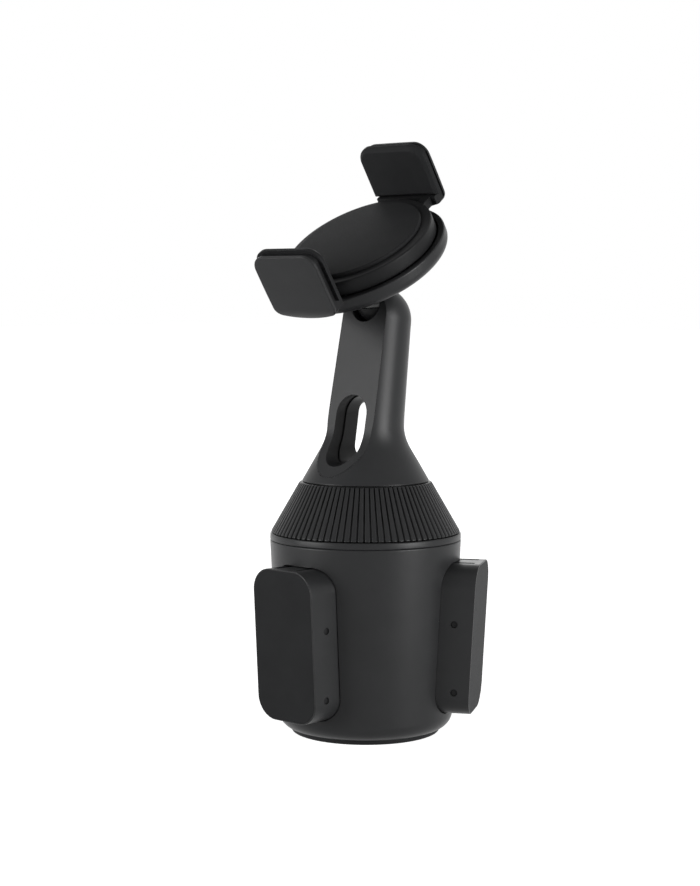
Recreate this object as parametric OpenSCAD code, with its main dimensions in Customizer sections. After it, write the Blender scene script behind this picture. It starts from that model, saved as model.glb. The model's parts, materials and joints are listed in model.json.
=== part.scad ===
// Car phone mount for a cup holder: a cup with three wings that a twist ring spreads,
// a leaning neck with a cable slot, and a round cradle with two jaws on a ball joint.
// Millimetres, +Z up, origin at the centre of the foot's underside, front towards -Y.

/* [Base cup] */
// Outer radius of the cup at its top edge
cup_top_r = 31.5; // [30.8:0.1:33]
// How much smaller the cup's wall is at the bottom
cup_taper = 2.9; // [2:0.1:3.6]
// Height of the cup's wall above the wings
cup_over = 6.6; // [6.4:0.1:8]
// Thickness of the cup's wall
cup_wall = 2.2; // [1.6:0.1:2.6]
// Thickness of the cup's floor
cup_floor = 3; // [2.4:0.1:4]
// Radius of the rounded bottom edge
cup_edge_r = 5; // [2:0.1:5.4]
// Inset of the foot disc from the cup's wall
foot_inset = 4; // [3.6:0.1:8]
// Thickness of the foot disc
foot_t = 2.2; // [1.8:0.1:2.6]
// Height of the foot disc that shows under the cup
foot_show = 1.4; // [0.6:0.1:1.6]

/* [Wings] */
// Turn of the wings from the neck's front, clockwise from above, in degrees
wing_turn = 3; // [0:0.5:6]
// Width of a wing
wing_w = 25.9; // [22:0.1:26.4]
// Height of a wing
wing_h = 49.2; // [46:0.1:52]
// Height of a wing's lower edge above the ground
wing_low_z = 8; // [7.4:0.1:8.6]
// Corner radius of a wing's outline
wing_corner_r = 7.5; // [4:0.1:9]
// How far the pad's face stands out past the cup's top edge at mid height, wings as set at rest
wing_reach = 6.5; // [5.6:0.1:8]
// Draft of the wing's face, leaning out towards the top, in degrees
wing_draft = 3.2; // [0:0.1:3.6]
// Thickness of a wing's pad
wing_pad_t = 1.2; // [0.8:0.1:1.4]
// Width of the shell's rim round the pad
wing_pad_inset = 0.5; // [0.3:0.05:1]
// Wall of a wing's shell
wing_wall = 1.6; // [1.2:0.1:1.8]
// Radial length of a wing's shell behind its pad
wing_depth = 12.6; // [11:0.1:12.8]
// Clearance round a wing in its window
wing_gap = 0.3; // [0.2:0.05:0.5]
// How far the wings draw in from rest
wing_in = 8; // [6:0.5:8]
// How far the wings spread from rest
wing_out = 4; // [2:0.5:4]
// Radius of a wing's cross pins
wing_pin_r = 1.15; // [0.8:0.05:1.4]
// Depth of the dimple over each pin's end
wing_pin_sunk = 0.5; // [0.2:0.05:0.8]
// Distance of the cross pins behind the pad's face
wing_pin_back = 5.9; // [5.7:0.1:7]
// Height of the lower cross pin above the carrier's lower end
wing_pin_up = 3.5; // [2.2:0.1:6]
// Distance between the cross pins
wing_pin_rise = 22.2; // [18:0.1:26]
// Distance between the two slits on a wing's top
wing_slit_gap = 12; // [8:0.1:13]
// Width of each slit
wing_slit_w = 0.8; // [0.5:0.1:1.2]
// Depth of each slit
wing_slit_depth = 0.8; // [0.4:0.1:1.1]

/* [Wing drive] */
// Width of a carrier between its guide fins
carrier_w = 11.4; // [10:0.1:12]
// How far a carrier reaches in past its follower's axis
carrier_lap = 2.8; // [2.2:0.1:3.2]
// Height of a carrier
carrier_h = 40; // [36:0.1:41]
// Clearance of a carrier between its fins
carrier_gap = 0.3; // [0.15:0.05:0.5]
// Thickness of a guide fin
fin_t = 2; // [1.4:0.1:2.2]
// How far the guide fins reach past the carriers at each end
fin_over = 0.5; // [0.2:0.1:1]
// Radius of the centre column
column_r = 10.5; // [10.2:0.1:10.6]
// Bore of the centre column
column_bore_r = 6.1; // [5.6:0.1:6.6]
// Radius of a follower pin
follower_r = 1.5; // [1.2:0.05:1.7]
// Depth to which a follower is set in its carrier
follower_set = 6; // [4:0.1:8]
// Radial travel of the scroll for one turn
scroll_lead = 36; // [30:0.5:40]
// Gap between the scroll plate and the cup's wall
scroll_play = 1.6; // [1.2:0.1:2]
// Rim of the scroll plate outside the grooves
scroll_rim = 1; // [0.8:0.1:1.4]
// Thickness of the scroll plate
scroll_t = 3; // [2.6:0.1:3.1]
// Depth of the spiral grooves
scroll_depth = 2.3; // [1.8:0.1:2.4]
// Clearance of a follower in its groove
scroll_gap = 0.15; // [0.1:0.05:0.3]

/* [Ring] */
// Inset of the ring's lower edge from the cup's top edge
ring_inset = 0.3; // [0.1:0.05:1]
// Radius of the ring at its top edge
ring_top_r = 21.75; // [21.5:0.05:23]
// Height of the ring
ring_h = 16.4; // [15.6:0.1:17]
// Wall of the ring
ring_wall = 2.2; // [1.8:0.1:2.4]
// Number of ribs round the ring
rib_count = 88; // [60:1:100]
// Depth of the grooves between the ribs
rib_depth = 0.7; // [0.3:0.05:0.9]
// Share of each pitch that a rib's crest takes
rib_share = 0.65; // [0.4:0.05:0.75]
// Height of the collar band between cup and ring
collar_h = 2.2; // [1.8:0.1:2.6]
// Gap between parts that turn or slide past each other
run_gap = 0.3; // [0.25:0.05:0.4]
// Thickness of the ring's inner web
web_t = 2.5; // [2:0.1:3]
// Depth of the web below the ring's top edge
web_drop = 3.75; // [3.6:0.05:4.2]
// Outer radius of the scroll hub's tube
hub_r = 13.5; // [12.8:0.1:14]
// Thickness of the thrust washer
washer_t = 0.8; // [0.5:0.05:1]
// Radius of the ring screws' shanks
ring_screw_r = 1; // [0.8:0.05:1.2]
// Radius of the ring screws' heads
ring_screw_head_r = 2; // [1.6:0.05:2.2]
// Height of the ring screws' heads
ring_screw_head_h = 1.2; // [0.8:0.1:1.4]
// Length of the ring screws in the hub
ring_screw_l = 7; // [5:0.5:9]

/* [Neck] */
// Inset of the neck's cone from the ring's top edge
cone_inset = 0.75; // [0.4:0.05:1]
// Slope of the cone from upright, in degrees
cone_slope = 29.8; // [27:0.1:32]
// Radius of the spigot that the ring turns on
spigot_r = 8.5; // [8:0.1:8.7]
// Radial running clearance of the ring on the spigot
spigot_gap = 0.08; // [0.03:0.01:0.1]
// Radius of the key below the spigot
key_r = 6; // [5:0.1:6]
// Length of the key in the column
key_l = 12; // [8:0.5:16]
// Radius of the post at its foot
post_low_r = 12.8; // [12.4:0.05:13]
// Radius of the post and of its dome at the top
post_top_r = 11.35; // [11.2:0.05:11.8]
// Lean of the post towards the back, in degrees
post_lean = 9.8; // [8.4:0.1:10.6]
// Height above the cone's foot at which the post's axis meets the base's axis
post_foot_up = 19.3; // [18:0.1:20]
// Length of the post from there to the dome's centre
post_l = 33.85; // [32.5:0.05:37]
// Distance of the front face's knee in front of the base's axis
knee_front = 9.2; // [8.9:0.05:9.5]
// Height of the knee above the cone's foot
knee_up = 13; // [12.4:0.1:13.6]
// Lean of the front face above the knee, in degrees
face_lean = 11.65; // [11:0.05:12]
// Lean of the front face below the knee, in degrees
toe_lean = 44.5; // [43.6:0.1:46]
// Radius of the knee's bend
knee_r = 17; // [8:0.5:24]
// Thickness of the front cover
cover_t = 2.4; // [1.8:0.1:2.8]
// Seam between cover and neck
cover_seam = 0.1; // [0.05:0.05:0.2]
// Rim of the neck that shows round the cover
cover_rim = 0.3; // [0.2:0.05:0.6]
// Wall of the cover's collar round the slot
collar_wall = 1.2; // [0.8:0.1:1.4]
// Depth of that collar behind the front face
collar_depth = 4.5; // [3.5:0.1:5.5]
// Step by which the slot narrows behind the collar
slot_step = 0.4; // [0.1:0.05:0.5]
// Half width of the cable slot
slot_r = 6.3; // [5:0.1:6.6]
// Height of the slot's lower end above the cone's foot
slot_up = 5.6; // [5.2:0.1:7]
// Length of the slot from end to end
slot_l = 22.8; // [18:0.1:24]
// Distance behind the base's axis at which the slot starts to flare
flare_back = 3; // [2:0.1:5]
// Flare of the slot to each side at the back, in degrees
flare_angle = 43; // [38:1:46]
// Height of the flared opening at the back
flare_h = 20; // [16:0.5:22]
// Radius of the blend between cone and post
blend_r = 11; // [8:0.5:13]
// Half width of the pocket behind the cover
pocket_w = 6.5; // [5:0.1:7]
// Distance of the pocket's back wall behind the base's axis
pocket_back = 5.3; // [4.5:0.1:6]
// Wall left between the pocket and the slot, and between the pocket and the socket
pocket_wall = 2.4; // [1.8:0.1:3]
// Thickness of the wall that the cover screws pull on
screw_wall = 3; // [2:0.1:4]
// Radius of the cover screws' shanks
cover_screw_r = 1.2; // [0.9:0.05:1.4]
// Radius of the cover screws' heads
cover_screw_head_r = 2.3; // [1.8:0.05:2.5]
// Height of the cover screws' heads
cover_screw_head_h = 1.6; // [1:0.1:2]
// Distance between the two cover screws
cover_screw_rise = 8.4; // [7:0.1:9]
// Radius of the long centre screw's shank
column_screw_r = 1.8; // [1.4:0.05:2.2]
// Radius of the centre screw's head
column_screw_head_r = 3.4; // [2.8:0.1:4]
// Height of the centre screw's head
column_screw_head_h = 1; // [0.8:0.05:1.2]

/* [Ball joint] */
// Radius of the ball
ball_r = 6.3; // [5.9:0.05:6.5]
// Distance of the ball's centre above the dome's centre, along the post
ball_rise = 5.6; // [5:0.1:6.2]
// Thickness of the seat round the ball
seat_t = 0.92; // [0.7:0.02:1.1]
// Half width of the seat
seat_half_w = 4.8; // [4:0.1:5]
// Half angle of the seat's opening, in degrees
seat_open = 70; // [62:1:75]
// Radial running clearance of ball and seat
ball_gap = 0.08; // [0.04:0.01:0.1]
// Half width of the recess round the ball
recess_r = 6; // [5.8:0.05:6.2]
// How far the recess reaches down the head's back from straight up, in degrees
recess_back = 40; // [36:1:46]
// Radius of the ball's stem
stem_r = 3.4; // [3:0.05:3.5]
// Radius of the stem's shoulder under the dish
shoulder_r = 5; // [4.4:0.1:5.4]
// Thickness of the shoulder
shoulder_t = 1; // [0.8:0.1:1.4]
// Radius of the stud screw's shank
stud_screw_r = 1.2; // [0.9:0.05:1.5]
// Radius of the stud screw's head
stud_screw_head_r = 2.4; // [2:0.05:2.8]
// Height of the stud screw's head
stud_screw_head_h = 0.6; // [0.5:0.05:0.7]

/* [Cradle] */
// Tilt of the cradle back from upright, screen side up, in degrees
cradle_tilt = 34.4; // [30:0.2:38]
// Distance of the cradle's centre from the stem's axis, up the tilted plate
cradle_shift = 2.4; // [0:0.1:3]
// Radius of the dish
dish_r = 28.2; // [27.4:0.1:28.6]
// Distance of the dish's underside from the ball's centre
dish_low = 11.9; // [11.8:0.1:13]
// Height of the dish
dish_h = 5.9; // [5.4:0.1:6.4]
// Rounding of the dish's lower edge
dish_edge_r = 3.4; // [1:0.1:3.8]
// Wall of the dish
dish_wall = 2; // [1.6:0.1:2.4]
// Floor of the dish
dish_floor = 1.8; // [1.4:0.1:2]
// Radius of the retainer on the stem's end
retainer_r = 6.5; // [5:0.1:7]
// Thickness of the retainer
retainer_t = 1; // [0.8:0.1:1.1]
// Inset of the front plate from the dish's edge
plate_inset = 2.7; // [2:0.1:3]
// Thickness of the front plate
plate_t = 1.4; // [1:0.1:2]
// Wall of the front plate's skirt
skirt_wall = 1.6; // [1.2:0.1:1.8]
// Inset of the phone pad from the front plate's edge
pad_inset = 3.4; // [2:0.1:6]
// Thickness of the phone pad
pad_t = 1.3; // [0.8:0.1:2]
// Distance of the cradle screws from the centre, across the arms
screw_across = 17.5; // [16.8:0.1:18]
// Distance of the cradle screws from the centre, along the arms
screw_along = 9; // [7:0.1:9.5]
// Radius of the cradle screws' shanks
screw_r = 1.1; // [0.8:0.05:1.3]
// Radius of the cradle screws' heads
screw_head_r = 2; // [1.6:0.05:2.2]
// Height of the cradle screws' heads
screw_head_h = 1; // [0.8:0.1:1.2]
// Depth to which the cradle screws' heads are sunk
screw_sunk = 0.4; // [0.2:0.1:0.6]
// Radius of the screw bosses
boss_r = 2.6; // [2.3:0.05:2.8]
// Clearance of screws and pins in their holes
hole_gap = 0.05; // [0.02:0.01:0.1]

/* [Jaws] */
// Distance of each jaw's grip face from the cradle's centre, as set at rest
grip_at = 28.9; // [28.8:0.1:31]
// Width of a jaw's shell
jaw_w = 25.7; // [22:0.1:28]
// Height of a jaw's shell
jaw_h = 21.7; // [19:0.1:28]
// Corner radius of a jaw
jaw_corner_r = 4.7; // [3:0.1:6]
// Thickness of a jaw's liner
liner_t = 2.6; // [1.8:0.1:3]
// Chamfer of a liner's grip edge
liner_chamfer = 1.3; // [0.6:0.1:1.5]
// Thickness of a jaw's core
core_t = 1.8; // [1.4:0.1:2.4]
// Thickness of a jaw's shell
shell_t = 1.3; // [1:0.1:2]
// How far the core lies inside the shell's outline
core_inset = 0.6; // [0.2:0.05:1]
// How far the liner stands out past the shell's outline
liner_step = 0.2; // [0:0.05:0.6]
// Bow of a shell's lower edge
shell_bow = 2.2; // [0.6:0.1:2.6]
// How far each jaw closes from rest
jaw_in = 3; // [1.5:0.1:3]
// How far each jaw opens from rest
jaw_out = 11; // [8:0.5:11]
// Thickness of a jaw's arm
arm_t = 3; // [2.4:0.1:3.4]
// Width of an arm behind its teeth
arm_w = 3.4; // [2.6:0.1:3.6]
// Pitch radius of the pinion
pitch_r = 6; // [5.6:0.1:6]
// Number of teeth of the pinion, an even number
pinion_teeth = 12; // [12:2:12]
// Pressure angle of the teeth, in degrees
pressure = 30; // [28:1:30]
// Backlash of rack and pinion
backlash = 0.3; // [0.2:0.05:0.4]
// Radius of the pinion's post
post_pin_r = 2; // [1.6:0.1:2.4]
// Radial running clearance of the pinion on its post
pinion_gap = 0.06; // [0.03:0.01:0.1]
// Step from the teeth's roots in to the pinion's hub
pinion_hub_step = 0.6; // [0.3:0.1:0.8]
// Radius of the pinion's friction washer
grip_washer_r = 4; // [3:0.1:4.4]
// Thickness of the pinion's friction washer
grip_washer_t = 0.6; // [0.4:0.05:0.8]
// Radius of the pinion screw's shank
pinion_screw_r = 0.9; // [0.7:0.05:1.1]
// Radius of the pinion screw's head
pinion_screw_head_r = 3.4; // [2.8:0.1:3.8]
// Height of the pinion screw's head
pinion_screw_head_h = 0.6; // [0.5:0.05:0.7]
// Width of the rails outside the arms
rail_w = 1.4; // [1:0.1:2]

/* [Hidden] */
$fn = 64;
far = 200;
cut = 1;

// Base and wings, worked out
cup_top_z = wing_low_z + wing_h + cup_over;
cup_inner_r = cup_top_r - cup_wall;
cup_slope = cup_taper/(cup_top_z - foot_show);
foot_r = cup_top_r - cup_taper - foot_inset;
wing_angles = [for (a = [-90, 30, 150]) a - wing_turn];
wing_mid_z = wing_low_z + wing_h/2;
wing_face_r = cup_top_r + wing_reach;
wing_back_r = wing_face_r - wing_pad_t;
wing_in_r = wing_back_r - wing_depth;
wing_pin_r_at = wing_face_r - wing_pin_back;
wing_lean_run = tan(wing_draft)*wing_h/2;
floor_z = foot_show + cup_floor;
carrier_end_r = wing_back_r - wing_wall - run_gap;
carrier_out_r = carrier_end_r - wing_lean_run;
carrier_top_z = wing_mid_z + carrier_h/2;
wing_pin_low_z = wing_mid_z - carrier_h/2 + wing_pin_up;
fin_h = carrier_h + 2*fin_over;
// The fins end where the shells come to when the wings are drawn in
fin_out_r = carrier_out_r - wing_in;

// Scroll, deck and ring, worked out
scroll_z = wing_low_z + wing_h + 2*run_gap;
scroll_r = cup_r(scroll_z) - cup_wall - scroll_play;
follower_at = scroll_r - scroll_rim - scroll_gap - follower_r - wing_out;
carrier_in_r = follower_at - carrier_lap;
scroll_top_z = scroll_z + scroll_t;
column_top_z = scroll_z - run_gap;
deck_low_z = scroll_top_z + run_gap;
collar_top_z = cup_top_z + collar_h;
ring_low_r = cup_top_r - ring_inset;
ring_low_z = collar_top_z + run_gap;
ring_top_z = ring_low_z + ring_h;
web_top_z = ring_top_z - web_drop;
web_low_z = web_top_z - web_t;
hub_bore_r = spigot_r + spigot_gap;
washer_z = web_top_z + run_gap;
neck_floor_z = washer_z + washer_t;
ring_screw_at = (hub_r + hub_bore_r)/2;
ring_screw_angles = [90, 210, 330];

// Neck, worked out
cone_r = ring_top_r - cone_inset;
cone_z = ring_top_z + run_gap;
post_foot_z = cone_z + post_foot_up;
knee_z = cone_z + knee_up;
slot_low_z = cone_z + slot_up;
blend_z = cone_z + (blend_r - (post_low_r + blend_r - cone_r)*cos(cone_slope))/sin(cone_slope);
post_sink = 6;
ring_top_inner_r = ring_top_r - ring_wall;
dome_y = post_l*sin(post_lean);
dome_z = post_foot_z + post_l*cos(post_lean);
ball_y = dome_y + ball_rise*sin(post_lean);
ball_z = dome_z + ball_rise*cos(post_lean);
seat_in_r = ball_r + ball_gap;
seat_out_r = seat_in_r + seat_t;
socket_r = seat_out_r + ball_gap;
slot_high_z = slot_low_z + slot_l;
pocket_low_z = slot_high_z + pocket_wall;
pocket_high_z = ball_z - socket_r - pocket_wall;
cover_screw_low_z = (pocket_low_z + pocket_high_z - cover_screw_rise)/2;
cover_head_y = pocket_back + screw_wall;
// Centre of the knee's bend, as [y, z], and the height at which the face runs out on the cone
knee_reach = knee_r*tan((toe_lean - face_lean)/2);
knee_c = [-knee_front, knee_z] + knee_reach*[sin(face_lean), cos(face_lean)]
  + knee_r*[-cos(face_lean), sin(face_lean)];
toe_z = cone_z + (cone_r - knee_front - knee_up*tan(toe_lean))/(tan(cone_slope) - tan(toe_lean));

// Cradle, worked out
dish_top = dish_low + dish_h;
arm_low = dish_top + run_gap;
arm_top = arm_low + arm_t;
plate_low = arm_top + run_gap;
plate_top = plate_low + plate_t;
pad_top = plate_top + pad_t;
plate_r = dish_r - plate_inset;
skirt_in_r = plate_r - skirt_wall;
dish_floor_top = dish_low + dish_floor;
gear_m = 2*pitch_r/pinion_teeth;
tooth_pitch = PI*gear_m;
addendum = 0.8*gear_m;
dedendum = 1.05*gear_m;
arm_back = pitch_r + dedendum + arm_w;
arm_tail = sqrt(skirt_in_r*skirt_in_r - arm_back*arm_back) - jaw_in - run_gap;
retainer_low = dish_floor_top + 2*hole_gap;
stud_head_low = retainer_low + retainer_t;
pinion_head_low = stud_head_low + stud_screw_head_h + run_gap;
post_pin_low = pinion_head_low + pinion_screw_head_h;
pinion_low = post_pin_low + run_gap;
pinion_top = plate_low - grip_washer_t - run_gap;
pinion_hub_r = pitch_r - dedendum - pinion_hub_step;
rail_at = arm_back + run_gap;
jaw_low = dish_top - run_gap;
jaw_top = jaw_low + jaw_h;
core_at = grip_at + liner_t;
shell_at = core_at + core_t;
jaw_out_at = shell_at + shell_t;
ledge_at = plate_r + jaw_in + run_gap;
core_w = jaw_w - 2*core_inset;
lip_at = max(dish_r + jaw_in + run_gap, grip_at);

// Points along an arc, from angle a0 to angle a1
function arc(centre, r, a0, a1, n) =
  [for (i = [0:n]) centre + r*[cos(a0 + (a1 - a0)*i/n), sin(a0 + (a1 - a0)*i/n)]];

// Outer wall radius of the cup at a height
function cup_r(z) = cup_top_r - cup_slope*(cup_top_z - z);

// Flat shapes

module rounded_rect(w, h, r) {
  square([w - 2*r, h], center = true);
  square([w, h - 2*r], center = true);
  for (x = [-1, 1], y = [-1, 1])
    translate([x*(w/2 - r), y*(h/2 - r)]) circle(r);
}

// Rounded at the top corners only, standing on y = 0
module rounded_top(w, h, r) {
  translate([-w/2, 0]) square([w, h - r]);
  translate([-w/2 + r, 0]) square([w - 2*r, h]);
  for (x = [-1, 1])
    translate([x*(w/2 - r), h - r]) circle(r);
}

module obround(r, low, high) {
  for (y = [low + r, high - r])
    translate([0, y]) circle(r);
  translate([-r, low + r]) square([2*r, high - low - 2*r]);
}

// Extrudes a flat shape along +X: its x becomes Y and its y becomes Z
module along_x(x0, x1) {
  translate([x0, 0, 0]) rotate([90, 0, 90]) linear_extrude(x1 - x0) children();
}

// Extrudes a flat shape along +Y: its x stays and its y becomes Z
module along_y(y0, y1) {
  translate([0, y1, 0]) rotate([90, 0, 0]) linear_extrude(y1 - y0) children();
}

module tube(r_in, r_out, z0, z1) {
  translate([0, 0, z0]) difference() {
    cylinder(h = z1 - z0, r = r_out);
    translate([0, 0, -cut]) cylinder(h = z1 - z0 + 2*cut, r = r_in);
  }
}

module rod(r, z0, z1) {
  translate([0, 0, z0]) cylinder(h = z1 - z0, r = r);
}

// Base cup, its foot and the deck that closes it

module base_cup() {
  edge_c = [cup_r(foot_show + cup_edge_r) - cup_edge_r, foot_show + cup_edge_r];
  outer = concat([[0, foot_show]], arc(edge_c, cup_edge_r, -90, 0, 8), [[cup_top_r, cup_top_z]]);
  inner = [[cup_inner_r, cup_top_z], [cup_r(floor_z) - cup_wall, floor_z], [0, floor_z]];
  color("#333436") difference() {
    rotate_extrude($fn = 128) polygon(concat(outer, inner));
    rod(foot_r + hole_gap, 0, foot_t + hole_gap);
    rod(column_screw_r + hole_gap, 0, floor_z + cut);
    for (a = wing_angles)
      rotate([0, 0, a]) translate([0, 0, wing_mid_z])
        along_x(column_r, cup_top_r + cut)
          rounded_rect(wing_w + 2*wing_gap, wing_h + 2*wing_gap, wing_corner_r + wing_gap);
  }
}

module base_foot() {
  color("#202122") difference() {
    rod(foot_r, 0, foot_t);
    rod(column_screw_head_r + hole_gap, foot_t - column_screw_head_h - 4*hole_gap, foot_t + cut);
  }
}

module base_deck() {
  plug_r = cup_inner_r - cup_slope*(cup_top_z - deck_low_z) - 2*hole_gap;
  top_r = cup_top_r - cup_slope*collar_h - hole_gap;
  color("#333436") rotate_extrude($fn = 128) polygon([
    [hub_r + run_gap, deck_low_z], [plug_r, deck_low_z], [plug_r, cup_top_z + hole_gap],
    [cup_top_r, cup_top_z + hole_gap], [top_r, collar_top_z], [hub_r + run_gap, collar_top_z]
  ]);
}

// Centre column with a pair of fins for each wing's carrier
module guide_frame() {
  fin_at = carrier_w/2 + carrier_gap;
  color("#2c2d2f") difference() {
    union() {
      rod(column_r, floor_z, column_top_z);
      for (a = wing_angles, side = [-1, 1])
        rotate([0, 0, a]) translate([0, side*(fin_at + fin_t/2), wing_mid_z])
          translate([0, -fin_t/2, -fin_h/2]) cube([fin_out_r, fin_t, fin_h]);
    }
    rod(column_bore_r, column_top_z - key_l - cut, column_top_z + cut);
    rod(column_screw_r + hole_gap, floor_z - cut, column_top_z);
    // Notches that let the cross pins pass as the wings draw in
    for (a = wing_angles, z = [0, wing_pin_rise])
      rotate([0, 0, a])
        translate([wing_pin_r_at - wing_in - wing_pin_r - run_gap, -wing_w/2, wing_pin_low_z + z])
          translate([0, 0, -wing_pin_r - run_gap])
            cube([fin_out_r, wing_w, 2*(wing_pin_r + run_gap)]);
    // Room for the carriers to draw in to
    for (a = wing_angles)
      rotate([0, 0, a]) translate([carrier_in_r - wing_in - run_gap, -fin_at, wing_mid_z - fin_h/2])
        cube([fin_out_r, 2*fin_at, fin_h]);
  }
}

module column_screw() {
  color("#8a8c90") union() {
    rod(column_screw_head_r, foot_t + hole_gap - column_screw_head_h, foot_t + hole_gap);
    rod(column_screw_r, foot_t, column_top_z - 3*cut);
  }
}

// Wings, each in a frame with +X pointing outwards

module wing_block(x0, x1, inset) {
  translate([0, 0, wing_mid_z]) along_x(x0, x1)
    rounded_rect(wing_w - 2*inset, wing_h - 2*inset, wing_corner_r - inset);
}

// Everything outside a plane that leans out with the wing's draft
module beyond(r) {
  translate([r, 0, wing_mid_z]) rotate([0, wing_draft, 0])
    translate([0, -far/2, -far/2]) cube(far);
}

module wing_pin_holes(r, half_l) {
  for (z = [0, wing_pin_rise])
    translate([wing_pin_r_at, 0, wing_pin_low_z + z]) rotate([90, 0, 0])
      cylinder(h = 2*half_l, r = r, center = true);
}

module wing_shell(a) {
  color("#303133") rotate([0, 0, a]) difference() {
    wing_block(wing_in_r, wing_face_r + 2*wing_lean_run, 0);
    beyond(wing_face_r);
    intersection() {
      wing_block(wing_in_r, wing_face_r + 2*wing_lean_run, wing_pad_inset - hole_gap);
      beyond(wing_back_r);
    }
    difference() {
      wing_block(wing_in_r - cut, wing_face_r, wing_wall);
      beyond(carrier_end_r + run_gap);
    }
    wing_pin_holes(wing_pin_r + hole_gap, wing_w);
    for (side = [-1, 1])
      translate([wing_in_r - cut, (side*wing_slit_gap - wing_slit_w)/2, wing_low_z + wing_h - wing_slit_depth])
        cube([wing_depth, wing_slit_w, far]);
  }
}

module wing_pad(a) {
  color("#27282a") rotate([0, 0, a]) difference() {
    intersection() {
      wing_block(wing_in_r, wing_face_r + 2*wing_lean_run, wing_pad_inset);
      beyond(wing_back_r);
    }
    beyond(wing_face_r);
  }
}

module wing_carrier(a) {
  window_wall = 3;
  window_low = wing_pin_low_z + wing_pin_r + window_wall;
  color("#3a3b3e") rotate([0, 0, a]) difference() {
    translate([carrier_in_r, -carrier_w/2, wing_mid_z - carrier_h/2])
      cube([wing_face_r - carrier_in_r, carrier_w, carrier_h]);
    beyond(carrier_end_r);
    wing_pin_holes(wing_pin_r + hole_gap, carrier_w);
    translate([follower_at, 0, 0])
      rod(follower_r + hole_gap, carrier_top_z - follower_set, carrier_top_z + cut);
    translate([carrier_in_r + window_wall, -carrier_w, window_low])
      cube([carrier_out_r - carrier_in_r - 2*window_wall, 2*carrier_w,
        wing_pin_rise - 2*(wing_pin_r + window_wall)]);
  }
}

module wing_pins(a) {
  color("#1c1d1e") rotate([0, 0, a]) wing_pin_holes(wing_pin_r, wing_w/2 - wing_pin_sunk);
}

module wing_follower(a) {
  color("#9a9ca0") rotate([0, 0, a]) translate([follower_at, 0, 0])
    rod(follower_r, carrier_top_z - follower_set + hole_gap, scroll_z + scroll_depth - run_gap);
}

// Scroll hub: plate with one spiral groove for each wing, and the tube up to the ring

// Radius of a groove's centre line, at the angle that stands over the follower after turning
function spiral_r(turned) = follower_at + scroll_lead*turned/360;

// One outline, with its round ends as arcs
module spiral_groove(a) {
  span_in = 360*wing_in/scroll_lead;
  span_out = 360*wing_out/scroll_lead;
  half = follower_r + scroll_gap;
  steps = 24;
  bend = 18;
  turned = [for (i = [0:steps]) -span_in + (span_in + span_out)*i/steps];
  // A turn of the plate brings the groove's earlier stretch over the follower
  function wall(t, side) = (spiral_r(t) + side*half)*[cos(a - t), sin(a - t)];
  function end(t) = spiral_r(t)*[cos(a - t), sin(a - t)];
  polygon(concat(
    [for (t = turned) wall(t, 1)],
    arc(end(span_out), half, a - span_out - bend, a - span_out - 180 + bend, 8),
    [for (i = [steps:-1:0]) wall(turned[i], -1)],
    arc(end(-span_in), half, a + span_in + 180 - bend, a + span_in + bend, 8)
  ));
}

module at_ring_screws() {
  for (a = ring_screw_angles)
    rotate([0, 0, a]) translate([ring_screw_at, 0, 0]) children();
}

module scroll_hub() {
  color("#45474a") difference() {
    union() {
      rod(scroll_r, scroll_z, scroll_top_z);
      rod(hub_r, scroll_z, web_low_z);
    }
    rod(hub_bore_r, scroll_z - cut, web_low_z + cut);
    for (a = wing_angles)
      translate([0, 0, scroll_z - cut]) linear_extrude(scroll_depth + cut) spiral_groove(a);
    at_ring_screws() rod(ring_screw_r + hole_gap, web_low_z - ring_screw_l - cut, web_low_z + cut);
  }
}

// Outline of the ribbed ring at its lower edge
module rib_outline() {
  pitch = 360/rib_count;
  crest = pitch*rib_share;
  flank = pitch*(1 - rib_share)/4;
  root_r = ring_low_r - rib_depth;
  polygon([for (i = [0:rib_count - 1], p = [
    [ring_low_r, -crest/2], [ring_low_r, crest/2], [root_r, crest/2 + flank], [root_r, pitch - crest/2 - flank]
  ]) p[0]*[cos(i*pitch + p[1]), sin(i*pitch + p[1])]]);
}

module twist_ring() {
  inner_low_r = ring_low_r - ring_wall;
  color("#28292b") union() {
    difference() {
      translate([0, 0, ring_low_z])
        linear_extrude(ring_h, scale = ring_top_r/ring_low_r) rib_outline();
      translate([0, 0, ring_low_z]) cylinder(h = ring_h, r1 = inner_low_r, r2 = ring_top_inner_r, $fn = 96);
      rod(inner_low_r, ring_low_z - cut, ring_low_z);
      rod(ring_top_inner_r, ring_top_z, ring_top_z + cut);
    }
    difference() {
      web_r = ring_top_inner_r + (web_drop + web_t)*(inner_low_r - ring_top_inner_r)/ring_h;
      rod(web_r + ring_wall/3, web_low_z, web_top_z);
      rod(hub_bore_r, web_low_z - cut, web_top_z + cut);
      at_ring_screws() {
        rod(ring_screw_r + hole_gap, web_low_z - cut, web_top_z + cut);
        rod(ring_screw_head_r + hole_gap, web_top_z - ring_screw_head_h, web_top_z + cut);
      }
    }
  }
}

module ring_screws() {
  color("#8a8c90") at_ring_screws() {
    rod(ring_screw_head_r, web_top_z - ring_screw_head_h + hole_gap, web_top_z - hole_gap);
    rod(ring_screw_r, web_low_z - ring_screw_l, web_top_z - ring_screw_head_h/2);
  }
}

module thrust_washer() {
  color("#d8d6cf") tube(hub_bore_r, hub_r, washer_z, neck_floor_z);
}

// Neck: cone, leaning post and dome, with the front face cut to a bent profile

// Front face from above the dome down past the cone, moved back by off, as [y, z]
function face_profile(off) =
  let (upper = [sin(face_lean), cos(face_lean)],
       toe = [sin(toe_lean), cos(toe_lean)],
       knee = [-knee_front, knee_z])
  concat(
    [knee + far/2*upper + off*[cos(face_lean), -sin(face_lean)]],
    arc(knee_c, knee_r + off, -face_lean, -toe_lean, 10),
    [knee - far/6*toe + off*[cos(toe_lean), -sin(toe_lean)]]
  );

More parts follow.
